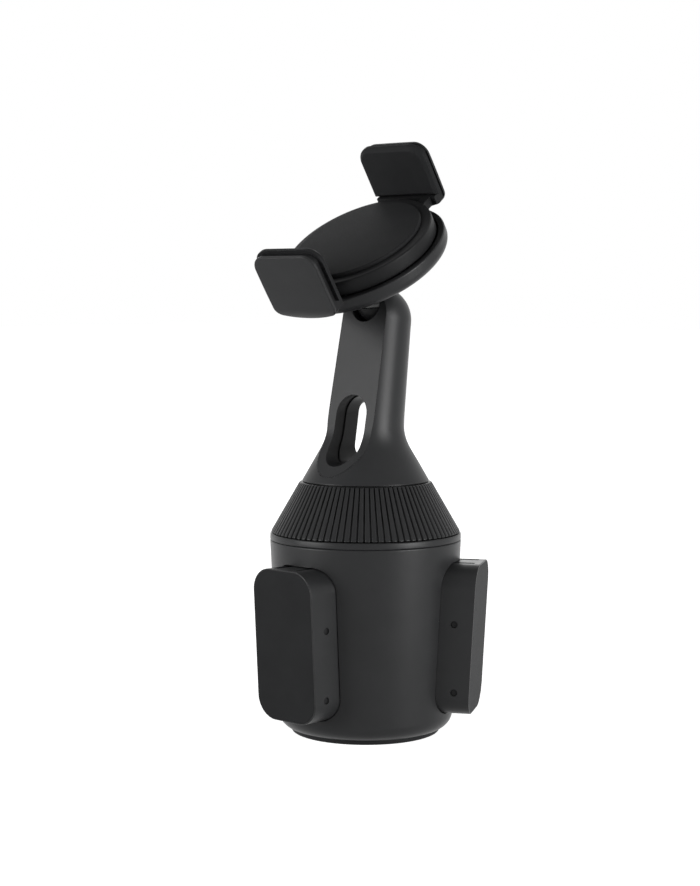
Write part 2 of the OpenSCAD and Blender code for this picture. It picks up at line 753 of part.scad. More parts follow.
// Where the front face lies at a height: on the bend, or on the straight stretches that leave it
function face_y(z) =
  let (a = asin(min(max((knee_c[1] - z)/knee_r, sin(face_lean)), sin(toe_lean))))
  knee_c[0] + knee_r*cos(a) + (z - knee_c[1] + knee_r*sin(a))*tan(a);

// Half width of the neck's cone, and of its post with the dome, on the front face at a height
function cone_half(z) =
  let (blend_from = blend_z - blend_r*sin(cone_slope),
       r = z < blend_from ? cone_r - (z - cone_z)*tan(cone_slope)
         : z < blend_z ? post_low_r + blend_r - sqrt(blend_r*blend_r - (blend_z - z)*(blend_z - z)) : 0)
  sqrt(max(r*r - face_y(z)*face_y(z), 0));
function post_half(z) =
  let (y = face_y(z), rise = z - post_foot_z,
       up = y*sin(post_lean) + rise*cos(post_lean),
       back = y*cos(post_lean) - rise*sin(post_lean),
       r = post_low_r + (post_top_r - post_low_r)*(up + post_sink)/(post_l + post_sink),
       over = max(up - post_l, 0))
  up < -post_sink ? 0 : sqrt(max((over > 0 ? post_top_r*post_top_r - over*over : r*r) - back*back, 0));

// Everything in front of the face that lies off behind the real one
module in_front(off) {
  profile = face_profile(off);
  low = profile[len(profile) - 1];
  high = profile[0];
  along_x(-far/4, far/4) polygon(concat(profile, [[-far, low[1]], [-far, high[1]]]));
}

module neck_form() {
  // Cone with a hollow bend up to the post
  rotate_extrude($fn = 128) polygon(concat(
    [[0, cone_z], [cone_r, cone_z]],
    arc([post_low_r + blend_r, blend_z], blend_r, 180 + cone_slope, 180, 8),
    [[0, blend_z]]
  ));
  translate([0, 0, post_foot_z]) rotate([-post_lean, 0, 0]) {
    translate([0, 0, -post_sink]) cylinder(h = post_l + post_sink, r1 = post_low_r, r2 = post_top_r, $fn = 96);
    translate([0, 0, post_l]) sphere(r = post_top_r, $fn = 96);
  }
}

// Outline of the front cover, inset from the face's edge, from its toe up to the ball's centre
module cover_outline(inset) {
  steps = 40;
  low_z = toe_z + inset;
  heights = [for (i = [1:steps]) low_z + (ball_z - low_z)*i*i/(steps*steps)];
  function half(z) = max(cone_half(z), post_half(z)) - inset;
  polygon(concat(
    [[0, low_z]],
    [for (z = heights) [half(z), z]],
    [for (i = [steps - 1:-1:0]) [-half(heights[i]), heights[i]]]
  ));
}

// Cover's collar round the cable slot, grown by a seam
module slot_collar(seam) {
  wall = collar_wall + seam;
  intersection() {
    along_y(-far/4, far/4) obround(slot_r + wall, slot_low_z - wall, slot_high_z + wall);
    in_front(collar_depth + seam);
  }
}

// Cable slot right through behind the collar, with a flare to both sides at the back that leans with the post
module cable_slot() {
  along_y(-far/4, far/4) obround(slot_r - slot_step, slot_low_z + slot_step, slot_high_z - slot_step);
  flare_mid_z = (slot_low_z + slot_high_z)/2;
  for (a = [-1:1/3:1])
    translate([0, flare_back, flare_mid_z]) rotate([-post_lean, 0, 0]) rotate([0, 0, a*flare_angle])
      along_y(0, far/4) obround(slot_r*cos(flare_angle), -flare_h/2, flare_h/2);
}

// Socket for the seat, and the recess that lets the stem swing in front and over the top
module socket_room() {
  translate([0, ball_y, ball_z]) {
    rotate([0, 90, 0]) rotate_extrude() {
      intersection() {
        circle(socket_r);
        translate([0, -seat_half_w - ball_gap]) square([socket_r, 2*(seat_half_w + ball_gap)]);
      }
      intersection() {
        circle(seat_in_r);
        translate([0, -seat_in_r]) square([seat_in_r, 2*seat_in_r]);
      }
    }
    // Towards the front
    rotate([90, 0, 0]) cylinder(h = far/4, r = recess_r);
    // From the front over the top to the back
    along_x(-recess_r, recess_r) polygon([
      [-far/4, 0], [0, 0], [far/4*sin(recess_back), far/4*cos(recess_back)], [-far/4, far/4]
    ]);
  }
}

module cover_screw_holes(r, y0, y1) {
  for (z = [0, cover_screw_rise])
    translate([0, y0, cover_screw_low_z + z]) rotate([-90, 0, 0]) cylinder(h = y1 - y0, r = r);
}

module pocket() {
  translate([-pocket_w, -far/8, pocket_low_z])
    cube([2*pocket_w, far/8 + pocket_back, pocket_high_z - pocket_low_z]);
}

module neck_body() {
  color("#333436") difference() {
    union() {
      neck_form();
      rod(ring_top_inner_r - run_gap, neck_floor_z, cone_z);
      rod(spigot_r, column_top_z, neck_floor_z);
      rod(key_r, column_top_z - key_l + cut, column_top_z);
    }
    in_front(0);
    intersection() {
      in_front(cover_t + cover_seam);
      along_y(-far/4, far/4) cover_outline(cover_rim - cover_seam);
    }
    slot_collar(cover_seam);
    pocket();
    cable_slot();
    socket_room();
    cover_screw_holes(cover_screw_r + hole_gap, 0, far/4);
    cover_screw_holes(cover_screw_head_r + 2*hole_gap, cover_head_y, far/4);
    rod(column_screw_r + hole_gap, 0, column_top_z - 2*cut);
  }
}

module neck_cover() {
  color("#2d2e30") difference() {
    union() {
      intersection() {
        in_front(cover_t);
        along_y(-far/4, far/4) cover_outline(cover_rim);
      }
      slot_collar(0);
      // Screw bosses that reach back into the pocket
      difference() {
        cover_screw_holes(cover_screw_head_r, -knee_front, pocket_back - hole_gap);
        in_front(cover_t/2);
      }
    }
    in_front(0);
    along_y(-far/4, far/4) obround(slot_r, slot_low_z, slot_high_z);
    socket_room();
    cover_screw_holes(cover_screw_r + hole_gap, 0, far/4);
  }
}

module cover_screws() {
  color("#8a8c90") for (z = [0, cover_screw_rise])
    translate([0, 0, cover_screw_low_z + z]) {
      translate([0, cover_head_y, 0]) rotate([-90, 0, 0]) cylinder(h = cover_screw_head_h, r = cover_screw_head_r);
      translate([0, hole_gap, 0]) rotate([-90, 0, 0]) cylinder(h = cover_head_y, r = cover_screw_r);
    }
}

// Cradle frame: origin at the ball's centre, +Z out of the phone pad, +Y up the tilted plate
module cradle_frame() {
  translate([0, ball_y, ball_z]) rotate([cradle_tilt, 0, 0]) children();
}

// The same for what is centred on the plate
module plate_frame() {
  cradle_frame() translate([0, cradle_shift, 0]) children();
}

// C-shaped clip round the ball, open towards the dish
module ball_seat() {
  color("#1b1c1d") cradle_frame() difference() {
    rotate([0, 90, 0]) rotate_extrude() difference() {
      intersection() {
        circle(seat_out_r);
        translate([0, -seat_half_w]) square([seat_out_r, 2*seat_half_w]);
      }
      circle(seat_in_r);
    }
    along_x(-far/8, far/8) polygon([
      [0, 0], [far/8*sin(seat_open), far/8*cos(seat_open)], [far/8, far/4],
      [-far/8, far/4], [-far/8*sin(seat_open), far/8*cos(seat_open)]
    ]);
  }
}

module ball_stud() {
  color("#3c3d40") cradle_frame() difference() {
    union() {
      sphere(r = ball_r);
      rod(stem_r, 0, retainer_low);
      rod(shoulder_r, dish_low - 2*hole_gap - shoulder_t, dish_low - 2*hole_gap);
    }
    rod(stud_screw_r + hole_gap, ball_r/3, retainer_low + cut);
  }
}

module stud_retainer() {
  color("#9a9ca0") cradle_frame() tube(stud_screw_r + hole_gap, retainer_r, retainer_low, stud_head_low);
}

module stud_screw() {
  color("#8a8c90") cradle_frame() {
    rod(stud_screw_head_r, stud_head_low, stud_head_low + stud_screw_head_h);
    rod(stud_screw_r, ball_r/2, stud_head_low + stud_screw_head_h/2);
  }
}

module at_cradle_screws() {
  for (x = [-1, 1], y = [-1, 1])
    translate([x*screw_across, y*screw_along, 0]) children();
}

module cradle_dish() {
  edge_c = [dish_r - dish_edge_r, dish_low + dish_edge_r];
  in_r = dish_r - dish_wall;
  color("#37383a") plate_frame() difference() {
    union() {
      rotate_extrude($fn = 128) polygon(concat(
        [[0, dish_low]], arc(edge_c, dish_edge_r, -90, 0, 8),
        [[dish_r, dish_top], [in_r, dish_top], [in_r, dish_floor_top], [0, dish_floor_top]]
      ));
      at_cradle_screws() rod(boss_r, dish_low + dish_floor/2, dish_top);
    }
    at_cradle_screws() {
      rod(screw_r + hole_gap, dish_low - cut, dish_top + cut);
      rod(screw_head_r + hole_gap, dish_low - cut, dish_low + screw_sunk + screw_head_h);
    }
    translate([0, -cradle_shift, 0]) rod(stem_r + hole_gap, dish_low - cut, dish_floor_top + cut);
  }
}

module cradle_plate() {
  color("#242526") plate_frame() difference() {
    union() {
      rod(plate_r, plate_low, plate_top);
      tube(skirt_in_r, plate_r, dish_top, plate_low);
      at_cradle_screws() rod(boss_r, dish_top, plate_low);
      // Rails outside the arms
      for (side = [0, 180])
        rotate([0, 0, side]) translate([rail_at, -skirt_in_r/2, arm_low])
          cube([rail_w, skirt_in_r, plate_low - arm_low]);
      rod(post_pin_r, post_pin_low, plate_low);
    }
    // A way out for each arm
    for (side = [0, 180])
      rotate([0, 0, side])
        translate([pitch_r - addendum - run_gap, skirt_in_r/2, dish_top - cut])
          cube([rail_at - pitch_r + addendum + run_gap, plate_r, plate_low - dish_top + cut]);
    at_cradle_screws() rod(screw_r + hole_gap, dish_top - cut, plate_low + plate_t/3);
    rod(pinion_screw_r + hole_gap, post_pin_low - cut, plate_low);
  }
}

module phone_pad() {
  color("#1d1e1f") plate_frame() rod(plate_r - pad_inset, plate_top, pad_top);
}

module cradle_screws() {
  color("#8a8c90") plate_frame() at_cradle_screws() {
    rod(screw_head_r, dish_low + screw_sunk, dish_low + screw_sunk + screw_head_h);
    rod(screw_r, dish_low + screw_sunk + screw_head_h/2, plate_low);
  }
}

// Screw under the pinion that keeps it on its post
module pinion_screw() {
  color("#8a8c90") plate_frame() {
    rod(pinion_screw_head_r, pinion_head_low, post_pin_low);
    rod(pinion_screw_r, pinion_head_low, arm_top);
  }
}

// Washer whose drag keeps the jaws where they are set
module pinion_washer() {
  color("#9a9ca0") plate_frame() tube(post_pin_r + hole_gap, grip_washer_r, plate_low - grip_washer_t, plate_low);
}

// Rack and pinion

// Point of the involute of a base circle, unwound by an angle
function involute(base_r, t) = base_r*[cos(t) + t*PI/180*sin(t), sin(t) - t*PI/180*cos(t)];
// Angle by which the involute has to unwind to reach a radius
function unwind(base_r, r) = sqrt(max(r*r/(base_r*base_r) - 1, 0))*180/PI;

module pinion_outline() {
  base_r = pitch_r*cos(pressure);
  tip_r = pitch_r + addendum;
  root_r = pitch_r - dedendum;
  start = unwind(base_r, root_r);
  stop = unwind(base_r, tip_r);
  steps = 6;
  flank = [for (i = [0:steps]) involute(base_r, start + (stop - start)*i/steps)];
  at_pitch = involute(base_r, unwind(base_r, pitch_r));
  half = (tooth_pitch/2 - backlash)/2/pitch_r*180/PI;
  turn = -half - atan2(at_pitch[1], at_pitch[0]);
  function turned(p, a) = [p[0]*cos(a) - p[1]*sin(a), p[0]*sin(a) + p[1]*cos(a)];
  polygon([for (k = [0:pinion_teeth - 1]) each concat(
    [turned([root_r, 0], k*360/pinion_teeth + turn)],
    [for (p = flank) turned(p, k*360/pinion_teeth + turn)],
    [for (i = [steps:-1:0]) turned([flank[i][0], -flank[i][1]], k*360/pinion_teeth - turn)],
    [turned([root_r, 0], k*360/pinion_teeth - turn)]
  )]);
}

module jaw_pinion() {
  color("#c9c6bd") plate_frame() difference() {
    union() {
      translate([0, 0, arm_low]) linear_extrude(pinion_top - arm_low) pinion_outline();
      rod(pinion_hub_r, pinion_low, arm_low);
    }
    rod(post_pin_r + pinion_gap, pinion_low - cut, arm_top + cut);
  }
}

// Rack teeth pointing at the pinion, with a space opposite the pinion's middle
module rack_outline(low, high) {
  slope = tan(pressure);
  mid = tooth_pitch/4 - backlash/4;
  count = floor((high - low)/tooth_pitch) - 1;
  first = ceil(low/tooth_pitch) + 0.5;
  for (k = [0:count])
    translate([0, (first + k)*tooth_pitch]) polygon([
      [pitch_r + dedendum + hole_gap, mid + dedendum*slope], [pitch_r - addendum, mid - addendum*slope],
      [pitch_r - addendum, -mid + addendum*slope], [pitch_r + dedendum + hole_gap, -mid - dedendum*slope]
    ]);
}

// Jaws, drawn for the rear one, which lies at +Y in the cradle's frame

module jaw_arm(turn) {
  color("#1f2021") plate_frame() rotate([0, 0, turn]) union() {
    translate([0, 0, arm_low]) linear_extrude(arm_t) {
      translate([pitch_r + dedendum, -arm_tail]) square([arm_w, arm_tail + core_at + core_t/2]);
      rack_outline(-arm_tail, jaw_in + 2*tooth_pitch);
    }
    translate([-core_w/2, ledge_at, arm_low]) cube([core_w, shell_at - ledge_at, arm_t]);
    translate([0, 0, arm_low]) along_y(core_at, shell_at)
      rounded_top(core_w, jaw_top - core_inset - arm_low, jaw_corner_r - core_inset);
  }
}

// Outline of a jaw's shell: round at its upper corners, with a bowed lower edge
module jaw_shell_outline() {
  // Radius of the bowed lower edge, from its bow over the jaw's width
  bow_r = (jaw_w*jaw_w/4 + shell_bow*shell_bow)/(2*shell_bow);
  bow_half = asin(jaw_w/2/bow_r);
  corner = [jaw_w/2 - jaw_corner_r, jaw_top - jaw_corner_r];
  polygon(concat(
    arc([0, jaw_low - shell_bow + bow_r], bow_r, -90 - bow_half, -90 + bow_half, 16),
    arc(corner, jaw_corner_r, 0, 90, 8),
    arc([-corner[0], corner[1]], jaw_corner_r, 90, 180, 8)
  ));
}

module jaw_shell(turn) {
  color("#3a3b3d") plate_frame() rotate([0, 0, turn]) difference() {
    along_y(lip_at, jaw_out_at) jaw_shell_outline();
    // Above its lip the shell is thin
    translate([-far/2, 0, arm_low]) cube([far, shell_at, far]);
  }
}

module jaw_liner(turn) {
  w = jaw_w + 2*liner_step;
  h = jaw_top + liner_step - arm_top;
  color("#252628") plate_frame() rotate([0, 0, turn]) translate([0, 0, arm_top]) {
    along_y(grip_at + liner_chamfer, core_at) rounded_top(w, h, jaw_corner_r + liner_step);
    along_y(grip_at, grip_at + liner_chamfer)
      rounded_top(w - 2*liner_chamfer, h - liner_chamfer, jaw_corner_r + liner_step - liner_chamfer);
  }
}

base_cup();
base_foot();
base_deck();
guide_frame();
column_screw();
wing_shell(wing_angles[0]);  // wing_shell_front
wing_shell(wing_angles[1]);  // wing_shell_right
wing_shell(wing_angles[2]);  // wing_shell_left
wing_pad(wing_angles[0]);  // wing_pad_front
wing_pad(wing_angles[1]);  // wing_pad_right
wing_pad(wing_angles[2]);  // wing_pad_left
wing_carrier(wing_angles[0]);  // wing_carrier_front
wing_carrier(wing_angles[1]);  // wing_carrier_right
wing_carrier(wing_angles[2]);  // wing_carrier_left
wing_pins(wing_angles[0]);  // wing_pins_front
wing_pins(wing_angles[1]);  // wing_pins_right
wing_pins(wing_angles[2]);  // wing_pins_left
wing_follower(wing_angles[0]);  // wing_follower_front
wing_follower(wing_angles[1]);  // wing_follower_right
wing_follower(wing_angles[2]);  // wing_follower_left
scroll_hub();
twist_ring();
ring_screws();
thrust_washer();
neck_body();
neck_cover();
cover_screws();
ball_seat();
ball_stud();
stud_retainer();
stud_screw();
cradle_dish();
cradle_plate();
phone_pad();
cradle_screws();
pinion_screw();
pinion_washer();
jaw_arm(180);  // jaw_arm_front
jaw_shell(180);  // jaw_shell_front
jaw_liner(180);  // jaw_liner_front
jaw_arm(0);  // jaw_arm_rear
jaw_shell(0);  // jaw_shell_rear
jaw_liner(0);  // jaw_liner_rear
jaw_pinion();
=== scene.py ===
"""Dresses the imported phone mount: smooth moulded shells, ribbed ring, wings, neck, ball, dish and jaws.

Sizes are in millimetres in the part's own frame (+Z up, front towards -Y) and become metres in the meshes.
Rounded shells are distance fields: each is sampled on a grid, and its mesh is pulled onto the exact surface.
"""
import json
import math

import bpy
import numpy as np
from mathutils import Matrix, Vector


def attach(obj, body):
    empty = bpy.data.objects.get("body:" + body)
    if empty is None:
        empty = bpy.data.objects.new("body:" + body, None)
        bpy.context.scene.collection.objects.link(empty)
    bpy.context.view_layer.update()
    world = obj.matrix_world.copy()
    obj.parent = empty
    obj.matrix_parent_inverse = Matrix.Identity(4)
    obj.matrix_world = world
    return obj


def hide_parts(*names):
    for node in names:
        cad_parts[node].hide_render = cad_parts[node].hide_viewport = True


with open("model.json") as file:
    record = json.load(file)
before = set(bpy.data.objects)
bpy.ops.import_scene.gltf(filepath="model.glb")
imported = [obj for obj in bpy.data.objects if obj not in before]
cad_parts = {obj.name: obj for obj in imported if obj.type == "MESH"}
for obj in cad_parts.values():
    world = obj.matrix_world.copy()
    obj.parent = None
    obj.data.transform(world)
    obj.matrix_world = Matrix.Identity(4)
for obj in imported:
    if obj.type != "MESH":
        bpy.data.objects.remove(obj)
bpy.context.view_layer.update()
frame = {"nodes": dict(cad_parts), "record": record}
MM = 0.001

# Play round fitted pieces, lap of pieces that grow together, and the radii where an outline meets its axis
FIT = 0.05
LAP = 0.5
AXIS_R = 0.01
AXIS_FINE_R = 0.005

# Sizes of the pieces

CUP_TOP_Z = 63.8
CUP_TOP_R = 31.5
CUP_LOW_Z = 1.4
CUP_TAPER = 2.9
CUP_SLOPE = CUP_TAPER/(CUP_TOP_Z - CUP_LOW_Z)
CUP_WALL = 2.2
CUP_EDGE_R = 5
CUP_RIM_R = 0.4
CUP_FLOOR_Z = 4.4
WINDOW_IN_R = 10
FOOT_R = 24.6
FOOT_T = 2.2
FOOT_WELL_R = 3.5
FOOT_WELL_Z = 1.0
FOOT_EDGE_R = 0.8
FOOT_TOP_EDGE_R = 0.1

WING_ANGLES = {"front": -93, "right": 27, "left": 147}
WING_W = 25.9
WING_H = 49.2
WING_LOW_Z = 8
WING_SLIT_AT = 4.4
WING_SLIT_W = 2.0
WING_SLIT_DEEP = 0.9
WING_SLIT_END = 0.9
WING_MID_Z = WING_LOW_Z + WING_H/2
WING_CORNER_R = 7.5
WING_EDGE_R = 0.2
WING_FACE_R = 38
WING_PAD_T = 1.2
WING_PAD_EDGE_R = 0.12
WING_RIM = 0.5
WING_DEPTH = 12.6
WING_IN_R = WING_FACE_R - WING_PAD_T - WING_DEPTH
WING_WALL = 1.6
WING_DRAFT = math.radians(3.2)
WING_GAP = 0.3
WING_PIN_R = 1.15
WING_PIN_FIT = 0.01
WING_PIN_IN = 8
WING_PIN_EDGE_R = 0.05
WING_PIN_SUNK = 0.35
WING_PIN_Z = (16.1, 38.3)
WING_PIN_BACK = 5.9
WING_PIN_AT = WING_FACE_R - WING_PIN_BACK

DECK_TOP_Z = 66.0
DECK_LOW_Z = 61.1
DECK_IN_R = 13.8
DECK_STEP_R = 29.0
DECK_TAPER = 0.1
DECK_LOW_EDGE_R = 0.35
DECK_TOP_EDGE_R = 0.4
RING_LOW_Z = 66.3
RING_TOP_Z = 82.7
RING_LOW_R = 31.2
RING_TOP_R = 21.75
RING_WALL = 2.2
RIB_COUNT = 88
RIB_DEPTH = 0.7
RIB_SHARE = 0.65
# A rib's flank: way past the crest's edge as a share of the pitch, and share of the rib's depth
RIB_FLANK = ((-0.1, 0.0), (-0.03, 0.06), (0.02, 0.25), (0.06, 0.62), (0.11, 0.9))
# The ring's two outer edges: way in from the edge, and how far the surface is tucked in
RING_EDGE = ((0.0, 0.3), (0.1, 0.12), (0.3, 0.02), (0.5, 0.0))
# First and last share of the slope and number of the rows between these edges
RING_ROWS = (0.08, 0.92, 9)
WEB_IN_R = 8.6
WEB_LOW = (23.6, 76.45)
WEB_TOP = (22.2, 78.95)
WEB_LOW_EDGE_R = 0.2
WEB_TOP_EDGE_R = 0.3

CONE_Z = 83.0
CONE_R = 21
CONE_SLOPE = math.radians(29.8)
CONE_EDGE_R = 0.35
BLEND = 2.0
LEAN_EASE = 0.25
# Radius and lower end of each step of the plug under the cone, and its lap with the cone
PLUG_STEPS = ((19.25, 80.05), (8.5, 57.5), (6, 46.5))
PLUG_LAP = 1
POST_LOW_R = 12.8
POST_TOP_R = 11.35
POST_LEAN = math.radians(9.8)
POST_FOOT_Z = 102.3
POST_SINK = 6
POST_L = 33.85
KNEE = (-9.2, 96.0)
KNEE_R = 17
FACE_LEAN = math.radians(11.65)
TOE_LEAN = math.radians(44.5)
PANEL_T = 0.5
PANEL_SEAM = 0.012
BED_SCALE = 0.8
PLATE_SCALE = 0.7
PANEL_SCREW_Z = (118.4, 126.8)
PANEL_SCREW_R = 2.4
PANEL_SCREW_FLOOR = 8.3
SLOT_R = 6.3
SLOT_LOW_Z = 88.6
SLOT_HIGH_Z = 111.4
SLOT_STEP = 0.4
SLOT_END = 4
SLOT_EDGE_R = 0.12
COLLAR_WALL = 1.2
COLLAR_DEPTH = 4.5
COLLAR_GAP = 0.06
FLARE_BACK = 3
FLARE_ANGLE = math.radians(43)
FLARE_H = 20
FLARE_EDGE_R = 0.5

BALL_OVER_POST = 5.6
BALL_UP = POST_L + BALL_OVER_POST
BALL_Y = BALL_UP*math.sin(POST_LEAN)
BALL_Z = POST_FOOT_Z + BALL_UP*math.cos(POST_LEAN)
BALL_R = 6.3
BALL_GAP = 0.08
PANEL_OVER_BALL = 1.2
PANEL_TOP_Z = BALL_Z + PANEL_OVER_BALL
SOCKET_R = 7.38
SOCKET_HALF_W = 4.88
RECESS_R = 6
RECESS_BACK = math.radians(40)
STEM_R = 3.4
SHOULDER_R = 5
SHOULDER_T = 1.0
SHOULDER_GAP = 0.1
STEM_TOP = 13.8
STEM_BORE_R = 1.25
STEM_BORE_LOW = 2.1

CRADLE_TILT = math.radians(34.4)
CRADLE_SHIFT = 2.4
DISH_R = 28.2
DISH_LOW = 11.9
DISH_TOP = 17.8
DISH_EDGE_R = 3.4
DISH_RIM_R = 0.45
DISH_WALL = 2
DISH_FLOOR = 1.8
ARM_LOW = 18.1
ARM_TOP = 21.1
PLATE_LOW = 21.4
PLATE_TOP = 22.8
PLATE_R = 25.5
PLATE_EDGE_R = 0.6
PLATE_FOOT_EDGE_R = 0.15
SKIRT_IN_R = 23.9
PAD_TOP = 24.1
PAD_R = 22.1
PAD_LOW_EDGE_R = 0.1
PAD_TOP_EDGE_R = 0.8
SCREW_AT = (17.5, 9)
BOSS_R = 2.6
BOSS_RISE = 0.9
BOSS_LOW = DISH_LOW + BOSS_RISE
SCREW_WELL_R = 2.05
SCREW_WELL_DEEP = 1.4
SCREW_WELL_EDGE_R = 0.2
# Where the arms leave the plate, the rails beside them and the pinion's post
WAY_IN = 4.9
WAY_OUT = 10.75
WAY_FROM = 11.95
WAY_EDGE_R = 0.25
RAIL_OUT = 12.15
PINION_POST_R = 2
PINION_POST_LOW = 16.3

GRIP_AT = 28.9
LINER_T = 2.6
CORE_T = 1.8
SHELL_T = 1.3
CORE_AT = GRIP_AT + LINER_T
SHELL_AT = CORE_AT + CORE_T
JAW_OUT_AT = SHELL_AT + SHELL_T
JAW_W = 25.7
JAW_LOW = 17.5
JAW_TOP = 39.2
JAW_CORNER_R = 4.7
CORE_INSET = 0.6
CORE_CORNER_R = 3.1
LINER_STEP = 0.8
LINER_CHAMFER = 1.3
LINER_SIDE_EDGE_R = 0.25
LINER_EDGE_R = 0.2
SHELL_BOW = 2.2
SHELL_BOW_CORNER_R = 2.5
SHELL_EDGE_R = 0.4
SHELL_DOME = 0.22
SHELL_DOME_Z = 28
SHELL_DOME_H = 11
SHELL_UNDER = 0.07
SHELL_UNDER_Z = 19.5
LEDGE_AT = 28.8
LIP_AT = 31.5
JAW_FIT = 0.02
ARM_IN = 7.05
ARM_OUT = 10.45
ARM_TAIL = 18.19
RACK_PITCH = math.pi
RACK_TIP = 5.2
RACK_END = 9.28
RACK_HEAD = 0.8
RACK_HALF_W = 0.71
RACK_FLANK = math.radians(30)
RACK_LAP = 0.2

WING_FRAMES = {side: Matrix.Rotation(math.radians(angle), 4, "Z") for side, angle in WING_ANGLES.items()}
BALL_FRAME = Matrix.Translation((0, BALL_Y, BALL_Z)) @ Matrix.Rotation(CRADLE_TILT, 4, "X")
PLATE_FRAME = BALL_FRAME @ Matrix.Translation((0, CRADLE_SHIFT, 0))
JAW_FRAMES = {"rear": PLATE_FRAME, "front": PLATE_FRAME @ Matrix.Rotation(math.pi, 4, "Z")}


# Distance fields: negative inside, in millimetres

def joined(a, b, r):
    """Union of two fields with a hollow of radius r where they meet."""
    u = np.maximum(r - a, 0)
    v = np.maximum(r - b, 0)
    return np.maximum(r, np.minimum(a, b)) - np.sqrt(u*u + v*v)


def common(a, b, r):
    """Overlap of two fields with a rounded edge of radius r."""
    u = np.maximum(r + a, 0)
    v = np.maximum(r + b, 0)
    return np.minimum(-r, np.maximum(a, b)) + np.sqrt(u*u + v*v)


def without(a, b, r):
    """Field a less field b, with the cut's edge rounded by r."""
    return common(a, -b, r)


def slab(t, low, high):
    """What lies between two values of a coordinate."""
    return np.maximum(low - t, t - high)


def rounded_rect(a, b, w, h, r):
    """Rectangle w by h with round corners, centred on the origin of a and b."""
    p = np.abs(a) - (w/2 - r)
    q = np.abs(b) - (h/2 - r)
    return np.hypot(np.maximum(p, 0), np.maximum(q, 0)) + np.minimum(np.maximum(p, q), 0) - r


def obround(a, b, r, low, high):
    """Upright slot with round ends, from low to high along b."""
    return np.hypot(a, b - np.clip(b, low + r, high - r)) - r


def cup_field(x, y, z):
    rho = np.hypot(x, y)
    wall_r = CUP_TOP_R - CUP_SLOPE*(CUP_TOP_Z - z)
    wall = (rho - wall_r)*math.cos(math.atan(CUP_SLOPE))
    solid = common(common(wall, CUP_LOW_Z - z, CUP_EDGE_R), z - CUP_TOP_Z, CUP_RIM_R)
    cavity = np.maximum(rho - wall_r + CUP_WALL, CUP_FLOOR_Z - z)
    solid = np.maximum(solid, -cavity)
    solid = np.maximum(solid, -np.maximum(rho - FOOT_R - FIT, z - FOOT_T - FIT))
    for angle in WING_ANGLES.values():
        turn = math.radians(angle)
        out = x*math.cos(turn) + y*math.sin(turn)
        across = y*math.cos(turn) - x*math.sin(turn)
        window = rounded_rect(across, z - WING_MID_Z, WING_W + 2*WING_GAP, WING_H + 2*WING_GAP,
                              WING_CORNER_R + WING_GAP)
        solid = np.maximum(solid, -np.maximum(window, WINDOW_IN_R - out))
    return solid


def wing_outline(y, z, inset=0.0):
    return rounded_rect(y, z - WING_MID_Z, WING_W - 2*inset, WING_H - 2*inset, WING_CORNER_R - inset)


def wing_plane(x, z, r):
    """Distance in front of the wing's leaning plane that passes r at mid height."""
    return (x - r)*math.cos(WING_DRAFT) - (z - WING_MID_Z)*math.sin(WING_DRAFT)


def wing_shell_field(x, y, z):
    outline = wing_outline(y, z)
    back = wing_plane(x, z, WING_FACE_R - WING_PAD_T)
    solid = common(outline, wing_plane(x, z, WING_FACE_R), WING_EDGE_R)
    solid = np.maximum(solid, WING_IN_R - x)
    solid = np.maximum(solid, -np.maximum(outline + WING_RIM - FIT, -back))
    solid = np.maximum(solid, -np.maximum(outline + WING_WALL, back + WING_WALL))
    for pin_z in WING_PIN_Z:
        pin = np.hypot(x - WING_PIN_AT, z - pin_z) - WING_PIN_R - WING_PIN_FIT
        solid = np.maximum(solid, -np.maximum(pin, WING_PIN_IN - np.abs(y)))
    # Two slits in the top edge, which end behind the pad
    slit = np.abs(np.abs(y) - WING_SLIT_AT) - WING_SLIT_W/2
    slit = np.maximum(slit, WING_LOW_Z + WING_H - WING_SLIT_DEEP - z)
    return np.maximum(solid, -np.maximum(slit, back + WING_SLIT_END))


def wing_pad_field(x, y, z):
    solid = common(wing_outline(y, z, WING_RIM), wing_plane(x, z, WING_FACE_R), WING_PAD_EDGE_R)
    return np.maximum(solid, -wing_plane(x, z, WING_FACE_R - WING_PAD_T))


def neck_form(x, y, z):
    """Cone that bends hollow into the leaning post, and the post's dome."""
    rise = z - POST_FOOT_Z
    aside = rise*math.tan(POST_LEAN)
    # Round sections whose centre leaves the base's axis where the post starts to lean
    root = np.sqrt(aside*aside + LEAN_EASE)
    middle = 0.5*(aside + root)
    squeeze = 1 - 0.5*(1 + aside/root)*(1 - math.cos(POST_LEAN))
    up = y*math.sin(POST_LEAN) + rise*math.cos(POST_LEAN)
    back = y*math.cos(POST_LEAN) - rise*math.sin(POST_LEAN)
    share = np.minimum((up + POST_SINK)/(POST_L + POST_SINK), 1)
    post_r = POST_LOW_R + (POST_TOP_R - POST_LOW_R)*share
    wider = CONE_R - (z - CONE_Z)*math.tan(CONE_SLOPE) - post_r
    mix = np.clip(0.5 + 0.5*wider/BLEND, 0, 1)
    radius = post_r + wider*mix + BLEND*mix*(1 - mix)
    side = np.hypot(x, (y - middle)*squeeze) - radius
    dome = np.hypot(np.hypot(x, back), up - POST_L) - POST_TOP_R
    return np.where(up > POST_L, dome, side)


